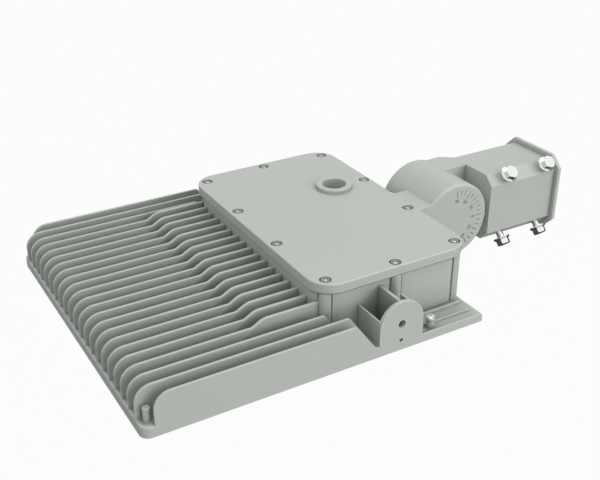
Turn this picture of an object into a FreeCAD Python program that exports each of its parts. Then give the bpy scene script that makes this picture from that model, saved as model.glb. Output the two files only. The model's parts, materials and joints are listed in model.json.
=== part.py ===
import FreeCAD, Part
import math
import os

import Sketcher
from FreeCAD import Rotation, Vector

# LED street light head: a finned die-cast housing whose driver box carries a
# bolted cover, joined by a tilting knuckle to a fitter that slips on a pole tenon.
#
# Millimetres, +Z up. The origin is the centre of the fitter's mouth, and +X
# leaves the mouth towards the pole. Three local frames keep the sketches simple:
# the head frame starts at the front edge of the underside, the pivot frame on
# the tilt axis, and the fitter shares the pivot frame.

SIZES = [
    # The tilt axis and where the head and the tenon socket lie from it
    ("pivot_setback", 142.5, "tenon mouth to tilt axis"),
    ("pivot_drop", 0.8, "tilt axis below the socket axis"),
    ("pivot_from_wall", 63.5, "tilt axis to the rear edge of the base"),
    ("pivot_height", 33.5, "tilt axis above the underside"),
    # Base plate of the heat sink
    ("base_length", 346, "front edge to rear edge"),
    ("base_width", 330, "side to side"),
    ("floor_thickness", 4.5, "rear floor and driver box floor"),
    ("plate_top", 11, "top of the thick front plate"),
    ("plate_length", 225, "length of the thick front plate"),
    ("front_corner_radius", 8.5, "plan corners at the front"),
    ("rear_corner_radius", 5.5, "plan corners at the rear"),
    ("top_edge_radius", 2, "rounded top edge of the front plate"),
    ("recess_depth", 6.5, "light recess in the underside"),
    ("recess_margin", 12, "front rim of the recess"),
    ("recess_side_margin", 14, "side rims of the recess"),
    ("recess_rear_margin", 6.5, "recess ends in front of the driver box"),
    ("recess_corner_radius", 6, "plan corners of the recess"),
    # Fins
    ("fin_count", 23, "fins across the head"),
    ("fin_thickness", 2.1, "fin thickness"),
    ("fin_top", 40, "top of the front fins"),
    ("fin_inset", 0.6, "fin noses behind the front edge"),
    ("fin_nose_radius", 15.5, "rounded nose of each fin"),
    ("fin_step_top", 46, "top of the raised rear part"),
    ("fin_step_start", 122, "lower knee of the raised part"),
    ("fin_step_run", 10.7, "length of the slope up to the raised part"),
    ("fin_knee_radius", 15, "rounding of the upper knee"),
    ("fin_swell", 0.3, "how much each side of a fin thickens towards the box"),
    ("swell_run", 48, "how far the thick part leans forward to its root"),
    ("side_fins", 3, "low fins on each side"),
    ("outer_fin_start", 11.2, "nose of the outermost fin"),
    ("outer_fin_end", 200, "top rear corner of the outermost fin"),
    ("second_fin_end", 202, "top rear corner of the second fin"),
    ("third_fin_end", 185.5, "top rear corner of the third fin"),
    ("side_slope_run", 23, "length of the slope behind the side fins"),
    ("side_corner_radius", 4, "rounded top rear corner of the side fins"),
    ("side_rim_top", 8.4, "low rim behind the outermost fin"),
    ("second_rib_top", 6.3, "low rib behind the second fin"),
    ("third_rib_top", 7, "low rib behind the third fin"),
    ("post_radius", 3.2, "round post at each front corner"),
    ("post_top", 24, "top of the corner posts"),
    ("post_setback", 8, "posts behind the front edge"),
    ("post_inset", 9.5, "posts in from the side"),
    ("low_post_radius", 2.2, "low posts between the fins"),
    ("low_post_top", 18, "top of the low posts"),
    # Driver box on the rear of the housing
    ("box_front", 184.5, "front wall from the front edge"),
    ("box_shelf", 36.5, "base beyond each side of the box"),
    ("box_corner_radius", 22, "outer plan corners"),
    ("box_wall", 3, "wall of the box"),
    ("rim_height", 56.5, "top of the box rim"),
    ("column_radius", 6.6, "columns around the cover screws"),
    ("groove_radius", 1.1, "grooves beside the columns"),
    ("screw_hole_depth", 20, "tapped depth in the columns"),
    ("corner_screw_inset", 7.6, "corner screws inside the sides and rear of the box"),
    ("corner_screw_setback", 9.9, "front corner screws behind the front of the box"),
    ("middle_screw_side", 40, "front and rear middle screws from the middle"),
    ("front_screw_inset", 5.7, "front middle screws inside the front of the box"),
    ("rear_screw_inset", 3, "rear middle screws inside the rear of the box"),
    ("side_screw_setback", 81.5, "side screws behind the front of the box"),
    ("side_screw_inset", 2.5, "side screws inside the sides of the box"),
    # Cover, gasket and sensor port
    ("gasket_thickness", 1.5, "cover gasket"),
    ("gasket_inset", 1.5, "gasket inside the edge of the cover"),
    ("cover_overhang", 5.5, "cover beyond the sides of the box"),
    ("cover_front_overhang", 3.3, "cover beyond the front wall"),
    ("cover_rear_overhang", 4, "cover beyond the rear wall"),
    ("cover_corner_radius", 24, "plan corners of the cover"),
    ("cover_height", 9.3, "height of the cover"),
    ("cover_skin", 3.2, "top wall of the cover"),
    ("cover_rim", 16, "width of the solid rim"),
    ("cover_rim_front", 17.3, "width of the rim at the front and rear"),
    ("cover_pocket_radius", 12, "corners of the hollow under the cover"),
    ("cover_edge_radius", 1, "rounded top edge of the cover"),
    ("screw_radius", 2.5, "cover screw shank"),
    ("screw_head_radius", 4.3, "cover screw head"),
    ("screw_head_height", 5, "cover screw head"),
    ("screw_socket_flat", 3.8, "hexagon socket across flats"),
    ("screw_socket_depth", 2.8, "hexagon socket"),
    ("screw_length", 20, "cover screw under its head"),
    ("screw_recess_gap", 1.5, "round the head in its recess"),
    ("screw_recess_depth", 5.6, "recess for the head"),
    ("hole_clearance", 0.3, "round a shank in a plain hole"),
    ("thread_clearance", 0.1, "round a shank in a tapped hole"),
    ("cut_past", 1, "how far drills and grooves run past what they free"),
    ("port_setback", 41.3, "sensor port in front of the rear of the box"),
    ("port_side", 40.3, "sensor port from the middle"),
    ("port_outer_radius", 18.7, "raised ring of the port"),
    ("port_radius", 13.2, "bore of the port"),
    ("port_ring_height", 4, "ring above the cover"),
    ("plug_flange_thickness", 4, "flange of the port plug"),
    ("plug_clearance", 0.15, "round the raised middle of the plug, inside its seal"),
    ("port_seal_thickness", 1, "flat seal above the plug flange"),
    ("port_seal_inset", 0.6, "seal opening beyond the bore of the port"),
    ("port_screw_radius", 1.25, "screws that hold the plug"),
    ("port_screw_place", 15.9, "plug screws from the port axis"),
    ("port_screw_length", 9, "plug screws under the head"),
    ("port_screw_head_radius", 2.3, "plug screw head"),
    ("port_screw_head_height", 1.8, "plug screw head"),
    # Ears on both sides
    ("ear_radius", 23.5, "rounded top of each ear"),
    ("ear_place", 248.3, "ear centre from the front edge"),
    ("ear_height", 27.4, "ear centre above the underside"),
    ("ear_thickness", 3.5, "ear plate"),
    ("ear_hole_radius", 4, "large ear hole"),
    ("ear_small_hole_radius", 2.1, "small ear hole"),
    ("ear_small_hole_height", 10.4, "small ear hole above the underside"),
    ("web_thickness", 1.6, "front web behind the ear"),
    ("ear_relief_depth", 12, "room for a bolt end behind the ear"),
    ("ear_relief_top", 37, "top of that room"),
    ("web_top", 36, "top of the front web"),
    ("mid_web_thickness", 3, "middle web behind the ear"),
    ("mid_web_top", 49.5, "top of the middle web"),
    ("short_web_reach", 13, "short web behind the ear"),
    ("short_web_place", 9.5, "short web behind the middle web"),
    ("short_web_thickness", 2, "short web"),
    ("short_web_top", 48, "top of the short web"),
    # Grounding point
    ("ground_setback", 56.5, "grounding boss in front of the rear edge"),
    ("ground_inset", 11.5, "grounding boss in from the side"),
    ("ground_boss_radius", 3.7, "grounding boss"),
    ("ground_boss_top", 13.4, "grounding boss"),
    ("ground_screw_radius", 1.9, "grounding screw shank"),
    ("ground_screw_length", 7, "grounding screw under its washer"),
    ("ground_head_radius", 3.6, "grounding screw head"),
    ("ground_head_height", 2.6, "grounding screw head"),
    ("ground_slot_width", 1, "slot across the head"),
    ("ground_slot_depth", 1.1, "slot across the head"),
    ("washer_radius", 4.6, "grounding washer"),
    ("washer_thickness", 1, "grounding washer"),
    # Rear pad, knuckle casting and its bolts
    ("pad_depth", 4, "raised pad on the rear wall"),
    ("flange_depth", 6.5, "mounting flange of the knuckle"),
    ("flange_half_width", 30, "mounting flange from its middle"),
    ("pad_top", 56.5, "top of the rear pad"),
    ("neck_near", 38, "near side of the neck and the dial face"),
    ("seam_near", 6, "near half ends here"),
    ("seam_gap", 0.5, "gap between the knuckle halves"),
    ("neck_half_height", 26.8, "neck above and below the tilt axis"),
    ("neck_fillet", 5, "inside corner between neck and flange"),
    ("drum_radius", 42.4, "outside of the knuckle"),
    ("drum_wall", 4, "wall of the hollow knuckle"),
    ("drum_bevel", 2, "bevel round each end of the knuckle"),
    ("boss_radius", 15, "centre bosses of the knuckle"),
    ("tick_count", 19, "ticks on the dial"),
    ("tick_outer_radius", 35.5, "outer end of the ticks"),
    ("tick_long", 9, "length of a long tick"),
    ("tick_short", 6, "length of a short tick"),
    ("tick_width", 0.9, "width of a tick"),
    ("tick_depth", 0.5, "depth of a tick"),
    ("passage_radius", 9, "wire passage"),
    ("knuckle_bolt_radius", 3, "knuckle bolt shank"),
    ("knuckle_bolt_side", 12, "knuckle bolts from the passage, sideways"),
    ("knuckle_bolt_rise", 17, "knuckle bolts from the passage, up and down"),
    ("knuckle_bolt_length", 26, "knuckle bolt under its head"),
    ("knuckle_bolt_flat", 10, "knuckle bolt head across flats"),
    ("knuckle_bolt_head", 4, "knuckle bolt head height"),
    ("pivot_bolt_radius", 5, "pivot bolt shank"),
    ("pivot_clearance", 0.08, "round the pivot bolt where the fitter turns on it"),
    ("pivot_bolt_reach", 26, "pivot bolt into the near half"),
    ("pivot_bolt_flat", 16, "pivot bolt head across flats"),
    ("pivot_bolt_head", 6, "pivot bolt head height"),
    ("pivot_washer_radius", 10.5, "pivot washer"),
    ("pivot_washer_thickness", 2, "pivot washer"),
    ("pivot_recess_gap", 0.8, "round the pivot washer in its recess"),
    # Fitter
    ("arm_far", 40, "far side of the arm"),
    ("arm_blend_start", 34.5, "where the arm starts to turn into the body"),
    ("arm_blend_length", 13, "length of that blend"),
    ("body_start", 46.9, "front face of the body from the tilt axis"),
    ("body_half_width", 38.1, "body to each side"),
    ("body_half_height", 38.7, "body up and down"),
    ("body_chamfer", 10.3, "chamfers along the body"),
    ("lip_offset", 5.3, "end lip beyond the body"),
    ("lip_thickness", 3.8, "end lip"),
    ("lip_chamfer", 12.7, "corners of the end lip"),
    ("socket_radius", 31, "tenon socket"),
    ("socket_depth", 90, "tenon socket"),
    ("fitter_passage_side", 21, "wire passage of the fitter from the middle"),
    ("clamp_radius", 4, "clamp bolt shank"),
    ("clamp_first", 20, "outer clamp bolts from the mouth"),
    ("clamp_spacing", 53.7, "along the row of clamp bolts"),
    ("clamp_stand_off", 7.3, "flange of a clamp bolt off the chamfer"),
    ("clamp_flange_radius", 9, "clamp bolt flange"),
    ("clamp_flange_thickness", 2, "clamp bolt flange"),
    ("clamp_flat", 13.2, "clamp bolt head across flats"),
    ("clamp_head", 6.9, "clamp bolt head above its flange"),
    ("clamp_tip_gap", 0.8, "bolt tip short of the bore wall"),
    # Light engine in the recess
    ("module_count", 3, "light modules across the recess"),
    ("module_gap", 3, "modules inside the ends of the recess"),
    ("module_spacing", 2.6, "from module to module"),
    ("board_thickness", 1.6, "light board"),
    ("board_margin", 4.5, "board inside the edge of its lens plate"),
    ("chip_size", 3.5, "light emitter"),
    ("chip_height", 0.7, "light emitter"),
    ("chip_rows", 8, "emitters along a module"),
    ("chip_columns", 3, "emitters across a module"),
    ("chip_end_margin", 17, "first emitters from the ends of a module"),
    ("chip_side_margin", 20, "outer emitters from the sides of a module"),
    ("lens_plate_thickness", 2, "lens plate"),
    ("lens_gap", 1, "emitter to lens plate"),
    ("lens_rim", 3, "rim of a lens plate"),
    ("lens_radius", 7, "each lens dome"),
    ("lens_rise", 3.2, "each lens dome"),
    ("lens_seal_thickness", 1, "seal above a lens plate rim"),
    ("module_screw_radius", 1.5, "lens and board screws"),
    ("module_head_radius", 2.9, "lens and board screw heads"),
    ("module_head_height", 1.8, "lens and board screw heads"),
    ("module_screw_bite", 3.6, "screws into the heat sink"),
    ("board_screw_head_height", 1.4, "board screw heads"),
    # Inside the driver box
    ("driver_length", 70, "driver along the head"),
    ("driver_height", 38, "driver case"),
    ("driver_front_gap", 12.5, "driver behind the front wall"),
    ("driver_wall_gap", 18.5, "driver to the near wall"),
    ("driver_surge_gap", 11, "driver to the surge protector"),
    ("driver_edge_radius", 3, "rounded edges of the driver case"),
    ("foot_length", 9, "driver feet beyond each end"),
    ("foot_thickness", 2, "driver feet"),
    ("pillar_radius", 4, "pillars under the driver feet"),
    ("pillar_height", 4, "pillars above the floor"),
    ("inner_screw_radius", 2, "screws inside the box"),
    ("inner_screw_length", 6, "screws inside the box under their heads"),
    ("inner_head_radius", 3.6, "screw heads inside the box"),
    ("inner_head_height", 2.6, "screw heads inside the box"),
    ("surge_length", 32, "surge protector along the head"),
    ("surge_width", 50, "surge protector across the head"),
    ("surge_height", 26, "surge protector"),
    ("surge_front_gap", 26.5, "surge protector behind the front wall"),
    ("surge_wall_gap", 1.5, "surge protector to the far wall"),
    ("terminal_length", 22, "terminal block along the head"),
    ("terminal_width", 52, "terminal block across the head"),
    ("terminal_height", 17, "terminal block"),
    ("terminal_gap", 18, "terminal block behind the driver"),
    ("terminal_wall_gap", 29.5, "terminal block to the near wall"),
    ("terminal_ways", 5, "ways of the terminal block"),
    ("terminal_pitch", 9.6, "ways of the terminal block"),
    ("terminal_well_radius", 2.4, "screw wells of the terminal block"),
    ("terminal_well_depth", 6, "screw wells of the terminal block"),
    ("lead_hole_gap", 22, "lead hole in the box floor behind the recess"),
    ("lead_hole_wall_gap", 25.5, "lead hole to the far wall"),
    ("lead_hole_radius", 6, "lead hole"),
    ("lead_groove_width", 6, "groove from the recess to the lead hole"),
    ("lead_groove_depth", 3, "groove from the recess to the lead hole"),
    ("grommet_wall", 2.5, "grommets inside their holes"),
    ("grommet_lip", 2.5, "grommet lips beyond their holes"),
    ("grommet_lip_thickness", 2, "grommet lips"),
    ("grommet_clearance", 0.1, "round a grommet in its hole"),
    ("vent_side", 86, "breather from the middle"),
    ("vent_height", 30, "breather above the underside"),
    ("vent_radius", 6, "breather thread"),
    ("vent_head_radius", 9, "breather head"),
    ("vent_head_depth", 6, "breather head outside the wall"),
    ("vent_nut_depth", 4, "breather nut inside the wall"),
    ("vent_nut_flat", 17, "breather nut across flats"),
    ("vent_stem_past", 1, "breather thread beyond its nut"),
]

doc = FreeCAD.newDocument("LightHead")


def fill_sheet():
    """Put the driving sizes into the spreadsheet, one alias a row."""
    sheet = doc.addObject("Spreadsheet::Sheet", "Sizes")
    for row, (name, number, note) in enumerate(SIZES, start=1):
        sheet.set(f"A{row}", note)
        sheet.set(f"B{row}", str(number))
        sheet.setAlias(f"B{row}", name)
    doc.recompute()
    return sheet


SHEET = fill_sheet()

# Places that several pieces share, written over the sheet

PIVOT_X = "-Sizes.pivot_setback"
PIVOT_Z = "-Sizes.pivot_drop"
HEAD_X = "-(Sizes.pivot_setback + Sizes.pivot_from_wall + Sizes.base_length)"
HEAD_Z = "-(Sizes.pivot_drop + Sizes.pivot_height)"
HEAD = (HEAD_X, "0", HEAD_Z)
PIVOT = (PIVOT_X, "0", PIVOT_Z)

HALF_WIDTH = "Sizes.base_width/2"
FIN_PITCH = "(Sizes.base_width - Sizes.fin_thickness)/(Sizes.fin_count - 1)"
FIRST_FIN = "-(Sizes.base_width - Sizes.fin_thickness)/2"
FIN_ROOT = "Sizes.plate_top - Sizes.recess_depth/2"
END_FIN = f"({FIRST_FIN} + Sizes.side_fins*{FIN_PITCH})"
LOW_POST_GAPS = (1.5, 5.5)
BOX_HALF = "(Sizes.base_width/2 - Sizes.box_shelf)"
BOX_REAR = "Sizes.base_length"
CAVITY_FRONT = "(Sizes.box_front + Sizes.box_wall)"
CAVITY_REAR = "Sizes.base_length - Sizes.box_wall"
CAVITY_HALF = f"({BOX_HALF} - Sizes.box_wall)"
COVER_FRONT = "Sizes.box_front - Sizes.cover_front_overhang"
COVER_REAR = "Sizes.base_length + Sizes.cover_rear_overhang"
COVER_HALF = f"({BOX_HALF} + Sizes.cover_overhang)"
COVER_BOTTOM = "Sizes.rim_height + Sizes.gasket_thickness"
COVER_TOP = "Sizes.rim_height + Sizes.gasket_thickness + Sizes.cover_height"
NECK_MIDDLE = "(Sizes.seam_near - Sizes.neck_near)/2"
FLANGE_BACK = "-(Sizes.pivot_from_wall - Sizes.pad_depth - Sizes.gasket_thickness)"
SCREW_HOLE = "Sizes.screw_radius + Sizes.hole_clearance"
SCREW_TAP = "Sizes.screw_radius + Sizes.thread_clearance"
SCREW_RECESS = "Sizes.screw_head_radius + Sizes.screw_recess_gap"
SEAM_FAR = "Sizes.seam_near + Sizes.seam_gap"
CHAMFER_FACE = "(Sizes.body_half_width + Sizes.body_half_height - Sizes.body_chamfer)/sqrt(2)"
BOARD_FACE = "Sizes.recess_depth - Sizes.board_thickness"
LENS_TOP = "Sizes.recess_depth - Sizes.board_thickness - Sizes.chip_height - Sizes.lens_gap"
LENS_BOTTOM = f"{LENS_TOP} - Sizes.lens_plate_thickness"
RECESS_END = "(Sizes.box_front - Sizes.recess_rear_margin)"
RECESS_HALF = f"({HALF_WIDTH} - Sizes.recess_side_margin)"
MODULE_MIDDLE = f"(Sizes.recess_margin + {RECESS_END})/2"
MODULE_LENGTH = f"({RECESS_END} - Sizes.recess_margin - 2*Sizes.module_gap)"
MODULE_PITCH = f"(2*{RECESS_HALF}/Sizes.module_count)"
MODULE_WIDTH = f"({MODULE_PITCH} - Sizes.module_spacing)"
CHIP_PITCH = f"(({MODULE_LENGTH} - 2*Sizes.chip_end_margin)/(Sizes.chip_rows - 1))"
CHIP_SIDE_PITCH = f"(({MODULE_WIDTH} - 2*Sizes.chip_side_margin)/(Sizes.chip_columns - 1))"
LEAD_HOLE = f"({RECESS_END} + Sizes.lead_hole_gap)"
LEAD_HOLE_SIDE = f"({CAVITY_HALF} - Sizes.lead_hole_wall_gap)"
PORT_PLACE = "(Sizes.base_length - Sizes.port_setback)"
GROUND_PLACE = "(Sizes.base_length - Sizes.ground_setback)"


def value(expression):
    """The number that an expression over the sheet comes to."""
    return float(SHEET.evalExpression(expression))


def cover_screw_places():
    """The ten places, in the head frame, of the cover's screws."""
    corner_side = f"({BOX_HALF} - Sizes.corner_screw_inset)"
    places = []
    for side in ("-", ""):
        places.append(("Sizes.box_front + Sizes.corner_screw_setback", f"{side}{corner_side}"))
        places.append(("Sizes.box_front + Sizes.front_screw_inset", f"{side}Sizes.middle_screw_side"))
        places.append(("Sizes.box_front + Sizes.side_screw_setback",
                       f"{side}({BOX_HALF} - Sizes.side_screw_inset)"))
        places.append((f"{BOX_REAR} - Sizes.rear_screw_inset", f"{side}Sizes.middle_screw_side"))
        places.append((f"{BOX_REAR} - Sizes.corner_screw_inset", f"{side}{corner_side}"))
    return places


# Sketch helpers. A corner is (across, up) or (across, up, rounding).


def seat(piece, place):
    """Place a finished piece by three expressions."""
    for axis, expression in zip("xyz", place):
        piece.setExpression(f"Placement.Base.{axis}", expression)
    return piece


def new_body(label, place):
    body = doc.addObject("PartDesign::Body", label)
    body.Label = label
    return seat(body, place)


def origin_feature(body, role):
    return [item for item in body.Origin.OriginFeatures if item.Role == role][0]


def new_sketch(body, name, plane="XY", level="0"):
    """An empty sketch on a plane of the body's origin, moved to a level."""
    sketch = body.newObject("Sketcher::SketchObject", name)
    sketch.AttachmentSupport = [(origin_feature(body, f"{plane}_Plane"), "")]
    sketch.MapMode = "FlatFace"
    offset = f"-({level})" if plane == "XZ" else level
    sketch.setExpression("AttachmentOffset.Base.z", offset)
    return sketch


def pin_point(sketch, geometry, point, across, up):
    """Hold one point of a sketch at two expressions."""
    for kind, expression in (("DistanceX", across), ("DistanceY", up)):
        number = value(expression)
        index = sketch.addConstraint(Sketcher.Constraint(kind, -1, 1, geometry, point, number))
        sketch.setExpression(f"Constraints[{index}]", expression)


def hold_radius(sketch, geometry, expression):
    number = value(expression)
    index = sketch.addConstraint(Sketcher.Constraint("Radius", geometry, number))
    sketch.setExpression(f"Constraints[{index}]", expression)


def add_circle(sketch, across, up, radius):
    centre = Vector(value(across), value(up), 0)
    circle = sketch.addGeometry(Part.Circle(centre, Vector(0, 0, 1), value(radius)), False)
    pin_point(sketch, circle, 3, across, up)
    hold_radius(sketch, circle, radius)


def corner_round(before, corner, after, radius):
    """Centre, tangent points and turning sense of a rounded corner."""
    incoming = (before - corner).normalize()
    outgoing = (after - corner).normalize()
    half_angle = incoming.getAngle(outgoing)/2
    reach = radius/math.tan(half_angle)
    start = corner + incoming*reach
    end = corner + outgoing*reach
    middle = (incoming + outgoing).normalize()
    centre = corner + middle*((reach**2 + radius**2)**0.5)
    leftwards = incoming.cross(outgoing).z < 0
    return centre, start, end, leftwards


def add_loop(sketch, corners):
    """A closed outline with pinned corners, some of them rounded."""
    points = [Vector(value(corner[0]), value(corner[1]), 0) for corner in corners]
    count = len(corners)
    ends = []
    for index, corner in enumerate(corners):
        if len(corner) == 2:
            ends.append((points[index], points[index], None))
            continue
        before, after = points[index - 1], points[(index + 1) % count]
        centre, start, end, leftwards = corner_round(before, points[index], after, value(corner[2]))
        circle = Part.Circle(centre, Vector(0, 0, 1), value(corner[2]))
        first, last = (start, end) if leftwards else (end, start)
        arc = Part.ArcOfCircle(circle, circle.parameter(first), circle.parameter(last))
        ends.append((start, end, (sketch.addGeometry(arc, False), leftwards)))
    lines = []
    for index in range(count):
        line = Part.LineSegment(ends[index][1], ends[(index + 1) % count][0])
        lines.append(sketch.addGeometry(line, False))
    for index, corner in enumerate(corners):
        arriving, leaving = lines[index - 1], lines[index]
        if len(corner) == 2:
            sketch.addConstraint(Sketcher.Constraint("Coincident", arriving, 2, leaving, 1))
            pin_point(sketch, leaving, 1, corner[0], corner[1])
            continue
        arc, leftwards = ends[index][2]
        arc_start, arc_end = (1, 2) if leftwards else (2, 1)
        sketch.addConstraint(Sketcher.Constraint("Tangent", arriving, 2, arc, arc_start))
        sketch.addConstraint(Sketcher.Constraint("Tangent", arc, arc_end, leaving, 1))
        hold_radius(sketch, arc, corner[2])
        mark = sketch.addGeometry(Part.Point(points[index]), True)
        pin_point(sketch, mark, 1, corner[0], corner[1])
        sketch.addConstraint(Sketcher.Constraint("PointOnObject", mark, 1, arriving))
        sketch.addConstraint(Sketcher.Constraint("PointOnObject", mark, 1, leaving))


def rectangle(left, right, low, high, radius=None):
    """Corners of a rectangle, anticlockwise, all rounded alike."""
    rounding = () if radius is None else (radius,)
    return [(left, low) + rounding, (right, low) + rounding,
            (right, high) + rounding, (left, high) + rounding]


def loop_sketch(body, name, corners, plane="XY", level="0"):
    sketch = new_sketch(body, name, plane, level)
    add_loop(sketch, corners)
    return sketch


def pad(body, sketch, length, forward=True, both=False):
    """Pad along the plane's positive axis, or back, or to both sides."""
    feature = body.newObject("PartDesign::Pad", f"{sketch.Name}Pad")
    feature.Profile = sketch
    feature.setExpression("Length", length)
    against_normal = "XZ_Plane" in sketch.AttachmentSupport[0][0].Role
    feature.Reversed = forward == against_normal
    feature.Midplane = both
    sketch.Visibility = False
    return feature


def pocket(body, sketch, length, forward=False):
    """Pocket against the plane's positive axis, or along it."""
    feature = body.newObject("PartDesign::Pocket", f"{sketch.Name}Pocket")
    feature.Profile = sketch
    feature.setExpression("Length", length)
    against_normal = "XZ_Plane" in sketch.AttachmentSupport[0][0].Role
    feature.Reversed = forward != against_normal
    sketch.Visibility = False
    return feature


def turn(body, sketch, role="Y_Axis", cut=False):
    """A full revolution of a profile, added or cut."""
    kind = "PartDesign::Groove" if cut else "PartDesign::Revolution"
    feature = body.newObject(kind, f"{sketch.Name}Turn")
    feature.Profile = sketch
    feature.ReferenceAxis = (origin_feature(body, role), [""])
    feature.Angle = 360
    sketch.Visibility = False
    return feature


def mirror_across(body, features):
    """Mirror features to the far side of the head."""
    feature = body.newObject("PartDesign::Mirrored", f"{features[0].Name}Mirror")
    feature.Originals = features
    feature.MirrorPlane = (origin_feature(body, "XZ_Plane"), [""])
    body.Tip = feature
    return feature


def repeat(body, features, role, length, count):
    """Repeat features in a row; length is from first to last."""
    feature = body.newObject("PartDesign::LinearPattern", f"{features[0].Name}Row")
    feature.Originals = features
    feature.Direction = (origin_feature(body, role), [""])
    feature.setExpression("Length", length)
    feature.setExpression("Occurrences", count)
    body.Tip = feature
    return feature

# Primitive helpers, for pieces made of blocks, rods and rings


def bound(kind, name, sizes, place=("0", "0", "0")):
    """A primitive with its sizes and place bound to expressions."""
    piece = doc.addObject(f"Part::{kind}", name)
    for prop, expression in sizes.items():
        piece.setExpression(prop, expression)
    return seat(piece, place)


def block(name, place, length, width, height):
    return bound("Box", name, {"Length": length, "Width": width, "Height": height}, place)


def rod(name, place, radius, height, along="Z"):
    """A cylinder from its place along +X, +Y or +Z."""
    piece = bound("Cylinder", name, {"Radius": radius, "Height": height}, place)
    turns = {"X": Rotation(Vector(0, 1, 0), 90), "Y": Rotation(Vector(1, 0, 0), -90), "Z": Rotation()}
    piece.Placement.Rotation = turns[along]
    return piece


def hexagon_rod(name, place, flats, height, along="Z"):
    """A hexagonal prism from its place along +X, +Y or +Z."""
    sizes = {"Circumradius": f"({flats})/sqrt(3)", "Height": height}
    piece = bound("Prism", name, sizes, place)
    piece.Polygon = 6
    turns = {"X": Rotation(Vector(0, 1, 0), 90), "Y": Rotation(Vector(1, 0, 0), -90), "Z": Rotation()}
    piece.Placement.Rotation = turns[along]
    return piece


def cut(name, base, tool):
    piece = doc.addObject("Part::Cut", name)
    piece.Base = base
    piece.Tool = tool
    return piece


def fuse(name, pieces):
    if len(pieces) == 1:
        return pieces[0]
    piece = doc.addObject("Part::MultiFuse", name)
    piece.Shapes = pieces
    return piece


def group(label, pieces, place):
    """Separate solids that share one name, seated together."""
    piece = doc.addObject("Part::Compound", label)
    piece.Label = label
    piece.Links = pieces
    return seat(piece, place)


# The housing: base plate, fins, driver box, ears and posts in one casting


def housing_plate(body):
    """Floor, thick front plate with a rounded edge, and the recess under it."""
    front, rear = "Sizes.front_corner_radius", "Sizes.rear_corner_radius"
    near, far = f"-{HALF_WIDTH}", HALF_WIDTH
    floor = [("0", near, front), ("Sizes.base_length", near, rear),
             ("Sizes.base_length", far, rear), ("0", far, front)]
    pad(body, loop_sketch(body, "Floor", floor), "Sizes.floor_thickness")
    plate = [("0", near, front), ("Sizes.plate_length", near),
             ("Sizes.plate_length", far), ("0", far, front)]
    plate_pad = pad(body, loop_sketch(body, "Plate", plate), "Sizes.plate_top")
    doc.recompute()
    top, rear_edge = value("Sizes.plate_top"), value("Sizes.plate_length")
    rounded = [f"Edge{index}" for index, edge in enumerate(plate_pad.Shape.Edges, start=1)
               if edge.BoundBox.ZMin > top - 0.01 and edge.BoundBox.XMin < rear_edge - 0.01]
    edge_round = body.newObject("PartDesign::Fillet", "PlateEdge")
    edge_round.Base = (plate_pad, rounded)
    edge_round.setExpression("Radius", "Sizes.top_edge_radius")
    recess = rectangle("Sizes.recess_margin", RECESS_END, f"-{RECESS_HALF}", RECESS_HALF,
                       "Sizes.recess_corner_radius")
    pocket(body, loop_sketch(body, "Recess", recess), "Sizes.recess_depth", forward=True)


def raised_fin(start, rear):
    """Side view of a fin that steps up towards the driver box."""
    nose = "Sizes.fin_inset"
    return [(nose, FIN_ROOT), (rear, FIN_ROOT), (rear, "Sizes.fin_step_top"),
            ("Sizes.fin_step_start + Sizes.fin_step_run", "Sizes.fin_step_top", "Sizes.fin_knee_radius"),
            (start, "Sizes.fin_top"), (nose, "Sizes.fin_top", "Sizes.fin_nose_radius")]


def swollen_fin(start, rear):
    """Side view of the thicker rear part of a stepped fin."""
    return [(f"{start} - Sizes.swell_run", FIN_ROOT), (rear, FIN_ROOT), (rear, "Sizes.fin_step_top"),
            ("Sizes.fin_step_start + Sizes.fin_step_run", "Sizes.fin_step_top", "Sizes.fin_knee_radius"),
            (start, "Sizes.fin_top")]


def low_fin(nose, end, rib_top):
    """Side view of a low side fin that slopes down to a rib behind it."""
    drop = f"(Sizes.fin_top - {rib_top})"
    foot = f"{end} + Sizes.side_slope_run*{drop}/(Sizes.fin_top - Sizes.side_rim_top)"
    rear = "Sizes.base_length - Sizes.rear_corner_radius"
    return [(nose, FIN_ROOT), ("Sizes.box_front", FIN_ROOT), ("Sizes.box_front", "Sizes.floor_thickness/2"),
            (rear, "Sizes.floor_thickness/2"), (rear, rib_top),
            (foot, rib_top), (end, "Sizes.fin_top", "Sizes.side_corner_radius"),
            (nose, "Sizes.fin_top", "Sizes.fin_nose_radius")]


def fin_at(body, name, corners, number, thickness="Sizes.fin_thickness"):
    """One fin, centred on its place in the row."""
    level = f"{FIRST_FIN} + {number}*{FIN_PITCH}"
    return pad(body, loop_sketch(body, name, corners, "XZ", level), thickness, both=True)


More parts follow.
